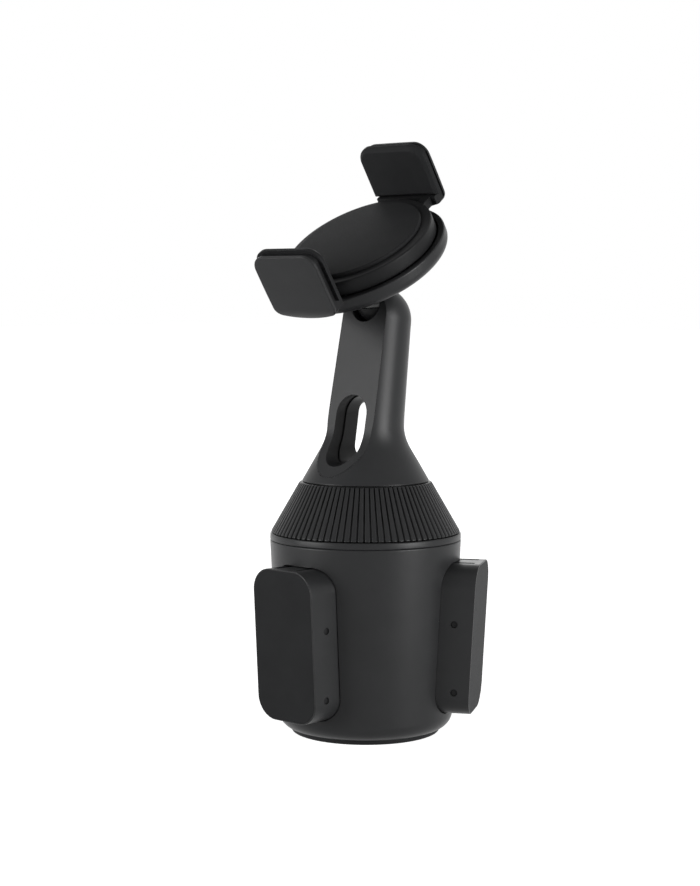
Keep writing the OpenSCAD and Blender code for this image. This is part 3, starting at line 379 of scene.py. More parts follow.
def face_distance(y, z):
    """Distance in front of the neck's bent front face."""
    reach = KNEE_R*math.tan((TOE_LEAN - FACE_LEAN)/2)
    centre_y = KNEE[0] + reach*math.sin(FACE_LEAN) - KNEE_R*math.cos(FACE_LEAN)
    centre_z = KNEE[1] + reach*math.cos(FACE_LEAN) + KNEE_R*math.sin(FACE_LEAN)
    angle = np.arctan2(centre_z - z, y - centre_y)
    upper = -(y - KNEE[0])*math.cos(FACE_LEAN) + (z - KNEE[1])*math.sin(FACE_LEAN)
    toe = -(y - KNEE[0])*math.cos(TOE_LEAN) + (z - KNEE[1])*math.sin(TOE_LEAN)
    bend = KNEE_R - np.hypot(y - centre_y, z - centre_z)
    return np.where(angle < FACE_LEAN, upper, np.where(angle > TOE_LEAN, toe, bend))


def cable_slot(x, y, z):
    """Slot through the neck behind the panel's collar, flared to both sides at the back."""
    straight = obround(x, z, SLOT_R - SLOT_STEP, SLOT_LOW_Z + SLOT_STEP, SLOT_HIGH_Z - SLOT_STEP)
    # The flare leans with the post
    back = y - FLARE_BACK
    rise = z - (SLOT_LOW_Z + SLOT_HIGH_Z)/2
    along = back*math.cos(POST_LEAN) - rise*math.sin(POST_LEAN)
    rise = back*math.sin(POST_LEAN) + rise*math.cos(POST_LEAN)
    turn = np.clip(np.arctan2(-x, along), -FLARE_ANGLE, FLARE_ANGLE)
    aside = x*np.cos(turn) + along*np.sin(turn)
    flare = obround(aside, rise, SLOT_R*math.cos(FLARE_ANGLE), -FLARE_H/2, FLARE_H/2)
    flare = np.maximum(flare, -along)
    # Only the flare opens at the back
    straight = np.maximum(straight, along - SLOT_END)
    return joined(straight, flare, FLARE_EDGE_R)


def socket_room(x, y, z):
    """Socket round the ball, and the recess that the stem swings in."""
    y = y - BALL_Y
    z = z - BALL_Z
    distance = np.sqrt(x*x + y*y + z*z)
    seat = np.maximum(distance - SOCKET_R, np.abs(x) - SOCKET_HALF_W)
    ball = distance - BALL_R - BALL_GAP
    front = np.maximum(np.hypot(x, z) - RECESS_R, y)
    over = np.maximum(-z, y*math.cos(RECESS_BACK) - z*math.sin(RECESS_BACK))
    over = np.maximum(np.abs(x) - RECESS_R, over)
    return np.minimum(np.minimum(seat, ball), np.minimum(front, over))


def neck_body_field(x, y, z):
    form = neck_form(x, y, z)
    depth = -face_distance(y, z)
    rho = np.hypot(x, y)
    # Below the ball the front is a bed for the panel, which rises at its sides to the face's edge
    bed = np.minimum(PANEL_T + PANEL_SEAM, np.maximum(-form, 0))
    bed = np.where(z < PANEL_TOP_Z + FIT, bed, 0)
    # Scaled, because the bed's own slope adds to the face's
    solid = np.maximum(form, (bed - depth)*BED_SCALE)
    solid = common(solid, CONE_Z - z, CONE_EDGE_R)
    for plug_r, plug_low in PLUG_STEPS:
        plug = np.maximum(rho - plug_r, slab(z, plug_low, CONE_Z + PLUG_LAP))
        solid = np.minimum(solid, plug)
    wall = COLLAR_WALL + COLLAR_GAP
    collar_room = obround(x, z, SLOT_R + wall, SLOT_LOW_Z - wall, SLOT_HIGH_Z + wall)
    solid = np.maximum(solid, -np.maximum(collar_room, depth - COLLAR_DEPTH - COLLAR_GAP))
    solid = np.maximum(solid, -cable_slot(x, y, z))
    solid = np.maximum(solid, -socket_room(x, y, z))
    for screw_z in PANEL_SCREW_Z:
        hole = np.maximum(np.hypot(x, z - screw_z) - PANEL_SCREW_R, PANEL_SCREW_FLOOR - y)
        solid = np.maximum(solid, -hole)
    return solid


def neck_panel_field(x, y, z):
    form = neck_form(x, y, z)
    depth = -face_distance(y, z)
    plate = np.maximum(np.maximum(-depth, depth - PANEL_T), (form + depth + PANEL_SEAM)*PLATE_SCALE)
    plate = np.maximum(plate, z - PANEL_TOP_Z)
    collar = obround(x, z, SLOT_R + COLLAR_WALL, SLOT_LOW_Z - COLLAR_WALL, SLOT_HIGH_Z + COLLAR_WALL)
    collar = np.maximum(collar, np.maximum(-depth, depth - COLLAR_DEPTH))
    solid = np.minimum(plate, collar)
    solid = without(solid, obround(x, z, SLOT_R, SLOT_LOW_Z, SLOT_HIGH_Z), SLOT_EDGE_R)
    return np.maximum(solid, -socket_room(x, y, z))


def dish_field(x, y, z):
    rho = np.hypot(x, y)
    solid = common(common(rho - DISH_R, DISH_LOW - z, DISH_EDGE_R), z - DISH_TOP, DISH_RIM_R)
    hollow = np.maximum(rho - DISH_R + DISH_WALL, DISH_LOW + DISH_FLOOR - z)
    solid = np.maximum(solid, -hollow)
    across = np.abs(x) - SCREW_AT[0]
    along = np.abs(y) - SCREW_AT[1]
    boss = np.hypot(across, along)
    solid = np.minimum(solid, np.maximum(boss - BOSS_R, slab(z, BOSS_LOW, DISH_TOP)))
    well = np.maximum(boss - SCREW_WELL_R, z - DISH_LOW - SCREW_WELL_DEEP)
    solid = without(solid, well, SCREW_WELL_EDGE_R)
    return np.maximum(solid, STEM_R + FIT - np.hypot(x, y + CRADLE_SHIFT))


def plate_field(x, y, z):
    rho = np.hypot(x, y)
    solid = common(common(rho - PLATE_R, z - PLATE_TOP, PLATE_EDGE_R), DISH_TOP - z, PLATE_FOOT_EDGE_R)
    solid = np.maximum(solid, -np.maximum(rho - SKIRT_IN_R, z - PLATE_LOW))
    # A way out for each arm
    side = np.where(y < 0, -x, x)
    way = np.maximum(slab(side, WAY_IN, WAY_OUT), np.maximum(WAY_FROM - np.abs(y), z - PLATE_LOW))
    solid = without(solid, way, WAY_EDGE_R)
    across = np.abs(x) - SCREW_AT[0]
    along = np.abs(y) - SCREW_AT[1]
    boss = np.maximum(np.hypot(across, along) - BOSS_R, slab(z, DISH_TOP, PLATE_LOW + LAP))
    post = np.maximum(rho - PINION_POST_R, slab(z, PINION_POST_LOW, PLATE_LOW + LAP))
    rail = np.maximum(slab(np.abs(x), WAY_OUT, RAIL_OUT), np.abs(y) - WAY_FROM)
    rail = np.maximum(rail, slab(z, ARM_LOW, PLATE_LOW + LAP))
    return np.minimum(np.minimum(solid, boss), np.minimum(post, rail))


def top_rounded(x, z, w, top, r):
    """Outline of a jaw, open downwards, round at its two upper corners."""
    return common(np.abs(x) - w/2, z - top, r)


def jaw_core_field(x, y, z):
    w = JAW_W - 2*CORE_INSET
    outline = np.maximum(top_rounded(x, z, w, JAW_TOP - CORE_INSET, CORE_CORNER_R), ARM_LOW - z)
    core = np.maximum(outline, slab(y, CORE_AT, SHELL_AT))
    ledge = np.maximum(np.abs(x) - w/2, slab(y, LEDGE_AT, SHELL_AT))
    ledge = np.maximum(ledge, slab(z, ARM_LOW, ARM_TOP))
    arm = np.maximum(slab(x, ARM_IN, ARM_OUT), slab(y, -ARM_TAIL, CORE_AT))
    # Rack teeth towards the pinion
    phase = np.abs(np.mod(y/RACK_PITCH, 1) - 0.5)*RACK_PITCH
    half = RACK_HALF_W - (RACK_TIP + RACK_HEAD - x)*math.tan(RACK_FLANK)
    teeth = np.maximum((phase - half)*math.cos(RACK_FLANK), slab(x, RACK_TIP, ARM_IN + RACK_LAP))
    teeth = np.maximum(teeth, slab(y, -ARM_TAIL, RACK_END))
    arm = np.maximum(np.minimum(arm, teeth), slab(z, ARM_LOW, ARM_TOP))
    return np.minimum(np.minimum(core, ledge), arm)


def jaw_shell_field(x, y, z):
    bow_r = (JAW_W*JAW_W/4 + SHELL_BOW*SHELL_BOW)/(2*SHELL_BOW)
    bow = np.hypot(x, z - JAW_LOW + SHELL_BOW - bow_r) - bow_r
    outline = common(top_rounded(x, z, JAW_W, JAW_TOP, JAW_CORNER_R), bow, SHELL_BOW_CORNER_R)
    # Slightly domed, and turned under at the lower end
    dome = SHELL_DOME*((2*x/JAW_W)**2 + ((z - SHELL_DOME_Z)/SHELL_DOME_H)**2)
    under = np.maximum(SHELL_UNDER_Z - z, 0)
    outer = common(outline, y - JAW_OUT_AT + dome + SHELL_UNDER*under*under, SHELL_EDGE_R)
    plate = np.maximum(outer, SHELL_AT - y)
    lip = np.maximum(np.maximum(outer, LIP_AT - y), z - ARM_LOW + JAW_FIT)
    return np.minimum(plate, lip)


def jaw_liner_field(x, y, z):
    w = JAW_W + 2*LINER_STEP
    outline = top_rounded(x, z, w, JAW_TOP + LINER_STEP, JAW_CORNER_R + LINER_STEP)
    outline = np.maximum(outline, ARM_TOP + JAW_FIT - z)
    # The grip edge is chamfered all round
    slope = (outline + GRIP_AT + LINER_CHAMFER - y)*math.sqrt(0.5)
    solid = common(common(outline, slope, LINER_SIDE_EDGE_R), GRIP_AT - y, LINER_EDGE_R)
    return np.maximum(solid, y - CORE_AT)


# Meshes: lengths are shares of a grid step

GRID_BEFORE = 1.37
GRID_AFTER = 2.1
PROBE = 0.02
FACE_PROBE = 0.05
POINT_PROBE = 0.1
CELL_MARGIN = 0.35
MOVE_LIMIT = 0.15
# Weight that holds a point at the middle of its crossings
MIDDLE_WEIGHT = 0.04
# Least squared slope that a step towards the surface is divided by
LEAST_SLOPE = 0.2
# A cell whose mean normal has a squared length below this holds a sharp edge
SHARP_SPREAD = 0.95
# How far into a face its corner normals are taken
FACE_SHARE = 0.4
# Largest share of a side that one rounded corner takes
CORNER_SHARE = 0.49
# Angles in degrees above which an edge stays crisp
SHARP_EDGE = 40
SHARP_RIB = 50
# Guards against division by nought
TINY = 1e-9
TINIEST = 1e-12


def slopes(field, points, reach):
    """Gradient of a field at points."""
    parts = []
    for axis in range(3):
        ahead = points.copy()
        behind = points.copy()
        ahead[:, axis] += reach
        behind[:, axis] -= reach
        parts.append((field(*ahead.T) - field(*behind.T))/(2*reach))
    return np.stack(parts, 1)


def unit(vectors):
    return vectors/np.maximum(np.linalg.norm(vectors, axis=1), TINY)[:, None]


def crossings(field, start, axis, step, at_start, at_end):
    """Points where grid edges cross a field's surface, closed in on from both ends."""
    low = np.zeros(len(start))
    high = np.ones(len(start))

    def point(share):
        result = start.copy()
        result[:, axis] += share*step
        return result

    for _ in range(2):
        share = low + (high - low)*at_start/(at_start - at_end)
        value = field(*point(share).T)
        same = (value < 0) == (at_start < 0)
        low = np.where(same, share, low)
        at_start = np.where(same, value, at_start)
        high = np.where(same, high, share)
        at_end = np.where(same, at_end, value)
    return point(low + (high - low)*at_start/(at_start - at_end + TINIEST))


def field_surface(field, low, high, step):
    """Points, faces and corner normals of a field's zero surface inside a box, with its sharp edges kept."""
    axes = [np.arange(low[k] - GRID_BEFORE*step, high[k] + GRID_AFTER*step, step) for k in range(3)]
    origin = np.array([axis[0] for axis in axes])
    y, z = np.meshgrid(axes[1], axes[2], indexing="ij")
    values = np.stack([field(np.full_like(y, x), y, z) for x in axes[0]])
    inside = values < 0
    halves = [slice(0, -1), slice(1, None)]
    count = sum(inside[halves[i], halves[j], halves[k]].astype(np.int8)
                for i in (0, 1) for j in (0, 1) for k in (0, 1))
    active = (count > 0) & (count < 8)
    index = np.full(active.shape, -1)
    index[active] = np.arange(active.sum())
    cells = np.argwhere(active)
    quads = []
    owners = []
    hits = []
    normals = []
    for axis in range(3):
        others = [(axis + 1) % 3, (axis + 2) % 3]
        first = np.moveaxis(inside, axis, 0)[:-1]
        second = np.moveaxis(inside, axis, 0)[1:]
        spots = np.argwhere(np.moveaxis(first != second, 0, axis))
        spots = spots[(spots[:, others] > 0).all(1)]
        ends = spots.copy()
        ends[:, axis] += 1
        at_start = values[tuple(spots.T)]
        hit = crossings(field, origin + step*spots, axis, step, at_start, values[tuple(ends.T)])
        normal = unit(slopes(field, hit, step*PROBE))
        ring = []
        for du, dv in ((1, 1), (0, 1), (0, 0), (1, 0)):
            near = spots.copy()
            near[:, others[0]] -= du
            near[:, others[1]] -= dv
            ring.append(index[tuple(near.T)])
            owners.append(ring[-1])
            hits.append(hit)
            normals.append(normal)
        quad = np.stack(ring, 1)
        flipped = at_start >= 0
        quad[flipped] = quad[flipped][:, ::-1]
        quads.append(quad)
    quads = np.concatenate(quads)
    owners = np.concatenate(owners)
    hits = np.concatenate(hits)
    normals = np.concatenate(normals)

    def gathered(weights):
        return np.bincount(owners, weights, len(cells))

    # Each cell's point lies where the planes through its crossings meet
    number = np.maximum(gathered(np.ones(len(owners))), 1)
    middle = np.stack([gathered(hits[:, k]) for k in range(3)], 1)/number[:, None]
    offset = (normals*(hits - middle[owners])).sum(1)
    matrix = np.empty((len(cells), 3, 3))
    right = np.empty((len(cells), 3))
    for i in range(3):
        right[:, i] = gathered(normals[:, i]*offset)
        for j in range(3):
            matrix[:, i, j] = gathered(normals[:, i]*normals[:, j])
    matrix += MIDDLE_WEIGHT*np.eye(3)
    points = middle + np.linalg.solve(matrix, right[:, :, None])[:, :, 0]
    corner = origin + step*cells
    points = np.clip(points, corner - CELL_MARGIN*step, corner + (1 + CELL_MARGIN)*step)
    for _ in range(2):
        gradient = slopes(field, points, step*PROBE)
        length = np.maximum((gradient**2).sum(1), LEAST_SLOPE)
        move = -field(*points.T)[:, None]*gradient/length[:, None]
        points = points + np.clip(move, -MOVE_LIMIT*step, MOVE_LIMIT*step)
    spread = np.stack([gathered(normals[:, k]) for k in range(3)], 1)/number[:, None]
    sharp = (spread**2).sum(1) < SHARP_SPREAD

    # Faces at sharp edges are split along the edge, and take their normals from inside the face
    edged = sharp[quads].any(1)
    smooth_quads = quads[~edged]
    split = quads[edged]
    across = 0.5*(points[split[:, 0]] + points[split[:, 2]])
    other = 0.5*(points[split[:, 1]] + points[split[:, 3]])
    first_way = np.abs(field(*across.T)) <= np.abs(field(*other.T))
    triangles = np.concatenate([
        split[first_way][:, [0, 1, 2]], split[first_way][:, [0, 2, 3]],
        split[~first_way][:, [1, 2, 3]], split[~first_way][:, [1, 3, 0]]])
    vertex_normals = unit(slopes(field, points, step*POINT_PROBE))
    corners = points[triangles]
    centres = corners.mean(1, keepdims=True)
    within = (corners + (centres - corners)*FACE_SHARE).reshape(-1, 3)
    triangle_normals = unit(slopes(field, within, step*FACE_PROBE))
    smooth_corner = ~sharp[triangles].reshape(-1)
    triangle_normals[smooth_corner] = vertex_normals[triangles.reshape(-1)[smooth_corner]]
    faces = smooth_quads.tolist() + triangles.tolist()
    corner_normals = np.concatenate([vertex_normals[smooth_quads.reshape(-1)], triangle_normals])
    return points, faces, corner_normals


def place(mesh_points, matrix):
    turn = np.array(matrix.to_3x3())
    shift = np.array(matrix.translation)
    return mesh_points @ turn.T + shift


def add_object(name, points, faces, normals=None):
    mesh = bpy.data.meshes.new(name)
    mesh.from_pydata((np.asarray(points)*MM).tolist(), [], faces)
    mesh.polygons.foreach_set("use_smooth", [True]*len(mesh.polygons))
    mesh.update()
    if normals is not None:
        mesh.normals_split_custom_set(normals.tolist())
    thing = bpy.data.objects.new(name, mesh)
    bpy.context.scene.collection.objects.link(thing)
    return thing


def dress(thing, body, slot, *nodes):
    """Gives a piece its body, its slot with that slot's material, and the nodes that it stands for."""
    thing.data.materials.clear()
    thing.data.materials.append(MATERIALS[slot])
    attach(thing, body)
    if nodes:
        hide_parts(*nodes)
    return thing


def field_object(name, field, grid, matrix=Matrix.Identity(4)):
    points, faces, normals = field_surface(field, *grid)
    turned = normals @ np.array(matrix.to_3x3()).T
    return add_object(name, place(points, matrix), faces, turned)


def fillet(points, radii, steps=6):
    """Closed outline in which each corner is rounded by its radius."""
    result = []
    count = len(points)
    for k, radius in enumerate(radii):
        corner = np.array(points[k], float)
        before = np.array(points[k - 1], float) - corner
        after = np.array(points[(k + 1) % count], float) - corner
        before_l = np.linalg.norm(before)
        after_l = np.linalg.norm(after)
        if radius <= 0:
            result.append(corner)
            continue
        before /= before_l
        after /= after_l
        half = math.acos(np.clip(before @ after, -1, 1))/2
        reach = min(radius/math.tan(half), CORNER_SHARE*before_l, CORNER_SHARE*after_l)
        radius = reach*math.tan(half)
        middle = before + after
        centre = corner + middle/np.linalg.norm(middle)*radius/math.sin(half)
        start = corner + before*reach - centre
        stop = corner + after*reach - centre
        a0 = math.atan2(start[1], start[0])
        turn = math.atan2(stop[1], stop[0]) - a0
        turn = (turn + math.pi) % (2*math.pi) - math.pi
        for i in range(steps + 1):
            angle = a0 + turn*i/steps
            result.append(centre + radius*np.array([math.cos(angle), math.sin(angle)]))
    return np.array(result)


def mark_sharp(thing, degrees):
    """Keeps edges sharper than an angle crisp under smooth shading."""
    mesh = thing.data
    normals = [polygon.normal.copy() for polygon in mesh.polygons]
    sides = {}
    for polygon in mesh.polygons:
        for key in polygon.edge_keys:
            sides.setdefault(key, []).append(polygon.index)
    limit = math.cos(math.radians(degrees))
    for edge in mesh.edges:
        pair = sides[edge.key]
        edge.use_edge_sharp = len(pair) == 2 and normals[pair[0]].dot(normals[pair[1]]) < limit


def revolved(name, outline, segments=192, matrix=Matrix.Identity(4)):
    """Closed outline of [radius, height] turned about the axis."""
    outline = np.asarray(outline, float)
    count = len(outline)
    angles = np.arange(segments)*2*math.pi/segments
    points = np.concatenate([
        np.stack([outline[:, 0]*math.cos(a), outline[:, 0]*math.sin(a), outline[:, 1]], 1) for a in angles
    ])
    faces = []
    for s in range(segments):
        here = s*count
        there = (s + 1) % segments*count
        for k in range(count):
            n = (k + 1) % count
            faces.append((here + k, there + k, there + n, here + n))
    thing = add_object(name, place(points, matrix), faces)
    mark_sharp(thing, SHARP_EDGE)
    return thing


def rib_profile():
    """Angle and depth of one rib's points over its pitch, with rounded crest edges and groove."""
    pitch = 2*math.pi/RIB_COUNT
    edge = 0.5*RIB_SHARE
    falling = [(edge + past, depth) for past, depth in RIB_FLANK]
    rising = [(1 - edge - past, depth) for past, depth in reversed(RIB_FLANK[1:])]
    crest = [(-falling[0][0], 0.0), (0.0, 0.0)]
    groove = [(0.5, 1.0)]
    return [(a*pitch, depth) for a, depth in crest + falling + groove + rising]


def ribbed_ring(name):
    """Conical ring with ribs that run from edge to edge."""
    profile = rib_profile()
    pitch = 2*math.pi/RIB_COUNT
    slope = math.hypot(RING_TOP_Z - RING_LOW_Z, RING_LOW_R - RING_TOP_R)
    rows = [(way/slope, tuck) for way, tuck in RING_EDGE]
    rows += [(share, 0.0) for share in np.linspace(*RING_ROWS)]
    rows += [(1 - way/slope, tuck) for way, tuck in reversed(RING_EDGE)]
    points = []
    for share, tuck in rows:
        height = RING_LOW_Z + (RING_TOP_Z - RING_LOW_Z)*share
        radius = RING_LOW_R + (RING_TOP_R - RING_LOW_R)*share - tuck
        for k in range(RIB_COUNT):
            for angle, depth in profile:
                r = radius - RIB_DEPTH*depth
                a = k*pitch + angle
                points.append((r*math.cos(a), r*math.sin(a), height))
    around = RIB_COUNT*len(profile)
    inner_low = RING_LOW_R - RING_WALL
    inner_top = RING_TOP_R - RING_WALL
    for radius, height in ((inner_top, RING_TOP_Z), (inner_low, RING_LOW_Z)):
        for k in range(RIB_COUNT):
            for angle, _ in profile:
                a = k*pitch + angle
                points.append((radius*math.cos(a), radius*math.sin(a), height))
    levels = len(rows) + 2
    faces = []
    for level in range(levels):
        low = level*around
        high = (level + 1) % levels*around
        for k in range(around):
            n = (k + 1) % around
            faces.append((low + k, low + n, high + n, high + k))
    thing = add_object(name, np.array(points), faces)
    mark_sharp(thing, SHARP_RIB)
    return thing


# Materials

def nodes_of(material):
    material.use_nodes = True
    tree = material.node_tree
    tree.nodes.clear()
    out = tree.nodes.new("ShaderNodeOutputMaterial")
    shader = tree.nodes.new("ShaderNodeBsdfPrincipled")
    tree.links.new(shader.outputs["BSDF"], out.inputs["Surface"])
    return tree, shader


def noise(tree, scale, detail, roughness=0.5):
    place_node = tree.nodes.new("ShaderNodeTexCoord")
    texture = tree.nodes.new("ShaderNodeTexNoise")
    texture.inputs["Scale"].default_value = scale
    texture.inputs["Detail"].default_value = detail
    texture.inputs["Roughness"].default_value = roughness
    tree.links.new(place_node.outputs["Object"], texture.inputs["Vector"])
    return texture.outputs["Fac"]


def ranged(tree, value, low, high, out_low, out_high):
    node = tree.nodes.new("ShaderNodeMapRange")
    node.inputs["From Min"].default_value = low
    node.inputs["From Max"].default_value = high
    node.inputs["To Min"].default_value = out_low
    node.inputs["To Max"].default_value = out_high
    tree.links.new(value, node.inputs["Value"])
    return node.outputs["Result"]


# Slight blue of black plastic, and how far colour and roughness drift
TINT = (0.98, 1.0, 1.04)
COLOUR_DRIFT = 0.06
ROUGH_DRIFT = 0.04
PLATING_DRIFT = 0.06
# Noise behind the drift and the grain, and the part of its range that is used
CLOUD_SCALE = 90
CLOUD_DETAIL = 3
CLOUD_RANGE = (0.35, 0.65)
GRAIN_DETAIL = 2
GRAIN_HARSHNESS = 0.6
GRAIN_RANGE = (0.3, 0.7)
GRAIN_STRENGTH = 0.35
PLATING_SCALE = 2500
PLATING_DETAIL = 3


def moulded(name, level, rough, grain, depth, specular):
    """Moulded plastic or rubber: fine grain in relief and roughness, and a slight cloudy drift of colour."""
    material = bpy.data.materials.new(name)
    tree, shader = nodes_of(material)
    shader.inputs["Specular IOR Level"].default_value = specular
    cloud = noise(tree, CLOUD_SCALE, CLOUD_DETAIL)
    colours = tree.nodes.new("ShaderNodeValToRGB")
    shares = (1 - COLOUR_DRIFT, 1 + COLOUR_DRIFT)
    for element, position, share in zip(colours.color_ramp.elements, CLOUD_RANGE, shares):
        element.position = position
        element.color = (*(level*share*tint for tint in TINT), 1)
    tree.links.new(cloud, colours.inputs["Fac"])
    tree.links.new(colours.outputs["Color"], shader.inputs["Base Color"])
    fine = noise(tree, grain, GRAIN_DETAIL, GRAIN_HARSHNESS)
    roughness = ranged(tree, fine, *GRAIN_RANGE, rough - ROUGH_DRIFT, rough + ROUGH_DRIFT)
    tree.links.new(roughness, shader.inputs["Roughness"])
    bump = tree.nodes.new("ShaderNodeBump")
    bump.inputs["Strength"].default_value = GRAIN_STRENGTH
    bump.inputs["Distance"].default_value = depth
    tree.links.new(fine, bump.inputs["Height"])
    tree.links.new(bump.outputs["Normal"], shader.inputs["Normal"])
    return material


def plated(name, colour, rough):
    """Plated steel with a fine uneven sheen."""
    material = bpy.data.materials.new(name)
    tree, shader = nodes_of(material)
    shader.inputs["Base Color"].default_value = (*colour, 1)
    shader.inputs["Metallic"].default_value = 1
    fine = noise(tree, PLATING_SCALE, PLATING_DETAIL)
    roughness = ranged(tree, fine, *GRAIN_RANGE, rough - PLATING_DRIFT, rough + PLATING_DRIFT)
    tree.links.new(roughness, shader.inputs["Roughness"])
    return material


# Grey level, roughness, grain's scale, grain's depth in metres and specular level of each plastic
MATERIALS = {
    "shell": moulded("satin_plastic", 0.0155, 0.36, 3000, 0.00002, 0.14),
    "panel": moulded("panel_plastic", 0.0165, 0.38, 3000, 0.00002, 0.12),
    "ring_plastic": moulded("ring_plastic", 0.0135, 0.36, 3000, 0.00002, 0.14),
    # The inner plastic is darker than the shell as painted shade: the plate under the pad, the jaw cores
    # between shell and grip and the wing pins in their holes lie where shade falls.
    "inner": moulded("inner_plastic_painted_shade", 0.0090, 0.42, 2600, 0.00003, 0.08),
    # The ball plastic's very low grey level is partly painted shade of the socket recess that the ball sits
    # in; its gloss is the plastic's own.
    "ball_plastic": moulded("ball_plastic", 0.0055, 0.24, 1500, 0.00001, 0.5),
    "washer_plastic": moulded("natural_plastic", 0.55, 0.45, 2600, 0.00002, 0.4),
    "foot_rubber": moulded("foot_rubber", 0.0130, 0.50, 2200, 0.00005, 0.06),
    "pad_rubber": moulded("pad_rubber", 0.0150, 0.52, 2200, 0.00005, 0.03),
    "screw_steel": plated("screw_steel", (0.42, 0.43, 0.45), 0.34),
}
# The CAD's own pieces take the same materials
for entry in frame["record"]["subparts"]:
    part = frame["nodes"][entry["node"]]
    part.data.materials.clear()
    part.data.materials.append(MATERIALS[entry["material_slot"]])


# Low corner, high corner and step of the grid that each field is sampled on, with its margin past a piece

EDGE = 0.3
CUP_GRID = ((-32, -32, 1), (32, 32, 64.2), 0.37)
WING_LOW_CORNER = (WING_IN_R - EDGE, -13.3, WING_LOW_Z - EDGE)
WING_PAD_LOW_CORNER = (35, -13.3, WING_LOW_Z - EDGE)
WING_HIGH_CORNER = (39.8, 13.3, WING_LOW_Z + WING_H + EDGE)
WING_SHELL_GRID = (WING_LOW_CORNER, WING_HIGH_CORNER, 0.25)
WING_PAD_GRID = (WING_PAD_LOW_CORNER, WING_HIGH_CORNER, 0.4)
NECK_GRID = ((-21.5, -21.5, 46), (21.5, 21.5, 148), 0.34)
PANEL_GRID = ((-12, -20.5, 84), (12, 6, PANEL_TOP_Z + EDGE), 0.22)
DISH_GRID = ((-28.6, -28.6, DISH_LOW - EDGE), (28.6, 28.6, DISH_TOP + EDGE), 0.42)
PLATE_GRID = ((-25.9, -25.9, 16), (25.9, 25.9, PLATE_TOP + EDGE), 0.42)
CORE_GRID = ((-13, -18.6, 17.7), (13, 33.8, 39), 0.34)
SHELL_GRID = ((-13.2, 31.2, 15), (13.2, 35, 39.6), 0.25)
LINER_GRID = ((-14, 28.6, 20.8), (14, 31.8, 40.3), 0.25)


# Base, ring and wings

dress(field_object("cup", cup_field, CUP_GRID), "base", "shell", "base_cup")

foot = fillet([(AXIS_R, 0), (FOOT_R, 0), (FOOT_R, FOOT_T), (FOOT_WELL_R, FOOT_T), (FOOT_WELL_R, FOOT_WELL_Z),
               (AXIS_R, FOOT_WELL_Z)], [0, FOOT_EDGE_R, FOOT_TOP_EDGE_R, 0, 0, 0])
dress(revolved("foot", foot), "base", "foot_rubber", "base_foot")

deck = fillet([(DECK_IN_R, DECK_LOW_Z), (DECK_STEP_R, DECK_LOW_Z), (DECK_STEP_R, CUP_TOP_Z + FIT),
               (CUP_TOP_R, CUP_TOP_Z + FIT), (CUP_TOP_R - DECK_TAPER, DECK_TOP_Z), (DECK_IN_R, DECK_TOP_Z)],
              [0, 0, 0, DECK_LOW_EDGE_R, DECK_TOP_EDGE_R, 0])
dress(revolved("collar", deck), "base", "shell", "base_deck")

dress(ribbed_ring("ring"), "ring", "ring_plastic")
web = fillet([(WEB_IN_R, WEB_LOW[1]), WEB_LOW, WEB_TOP, (WEB_IN_R, WEB_TOP[1])],
             [WEB_LOW_EDGE_R, 0, 0, WEB_TOP_EDGE_R])
dress(revolved("ring_web", web), "ring", "ring_plastic", "twist_ring")

half_l = WING_W/2 - WING_PIN_SUNK
rod = fillet([(AXIS_FINE_R, -half_l), (WING_PIN_R, -half_l), (WING_PIN_R, half_l), (AXIS_FINE_R, half_l)],
             [0, WING_PIN_EDGE_R, WING_PIN_EDGE_R, 0], 2)
for side, matrix in WING_FRAMES.items():
    body = "wing_" + side
    case = field_object("wing_case_" + side, wing_shell_field, WING_SHELL_GRID, matrix)
    dress(case, body, "shell", "wing_shell_" + side)
    face = field_object("wing_face_" + side, wing_pad_field, WING_PAD_GRID, matrix)
    dress(face, body, "pad_rubber", "wing_pad_" + side)
    for level, pin_z in zip(("low", "high"), WING_PIN_Z):
        spot = matrix @ Matrix.Translation((WING_PIN_AT, 0, pin_z)) @ Matrix.Rotation(math.pi/2, 4, "X")
        pin = revolved("wing_pin_" + side + "_" + level, rod, 48, spot)
        dress(pin, body, "inner", "wing_pins_" + side)

# Neck

neck = field_object("neck", neck_body_field, NECK_GRID)
dress(neck, "base", "shell", "neck_body")
panel = field_object("neck_panel", neck_panel_field, PANEL_GRID)
dress(panel, "base", "panel", "neck_cover")

# Ball and cradle

BALL_POINTS = 40
BALL_FIRST_ANGLE = 0.0005
ball_angles = np.linspace(BALL_FIRST_ANGLE, math.pi - math.asin(STEM_R/BALL_R), BALL_POINTS)
ball_arc = [(BALL_R*math.sin(a), -BALL_R*math.cos(a)) for a in ball_angles]
shoulder_top = DISH_LOW - SHOULDER_GAP
shoulder_low = shoulder_top - SHOULDER_T
stem = ball_arc + [(STEM_R, shoulder_low), (SHOULDER_R, shoulder_low), (SHOULDER_R, shoulder_top),
                   (STEM_R, shoulder_top), (STEM_R, STEM_TOP), (STEM_BORE_R, STEM_TOP),
                   (STEM_BORE_R, STEM_BORE_LOW), (AXIS_FINE_R, STEM_BORE_LOW)]
dress(revolved("ball", stem, 128, BALL_FRAME), "ball", "ball_plastic", "ball_stud")

dish = field_object("dish", dish_field, DISH_GRID, PLATE_FRAME)
dress(dish, "cradle", "shell", "cradle_dish")
plate = field_object("front_plate", plate_field, PLATE_GRID, PLATE_FRAME)
dress(plate, "cradle", "inner", "cradle_plate")
pad = fillet([(AXIS_R, PLATE_TOP), (PAD_R, PLATE_TOP), (PAD_R, PAD_TOP), (AXIS_R, PAD_TOP)],
             [0, PAD_LOW_EDGE_R, PAD_TOP_EDGE_R, 0])
dress(revolved("rest_pad", pad, 160, PLATE_FRAME), "cradle", "pad_rubber", "phone_pad")

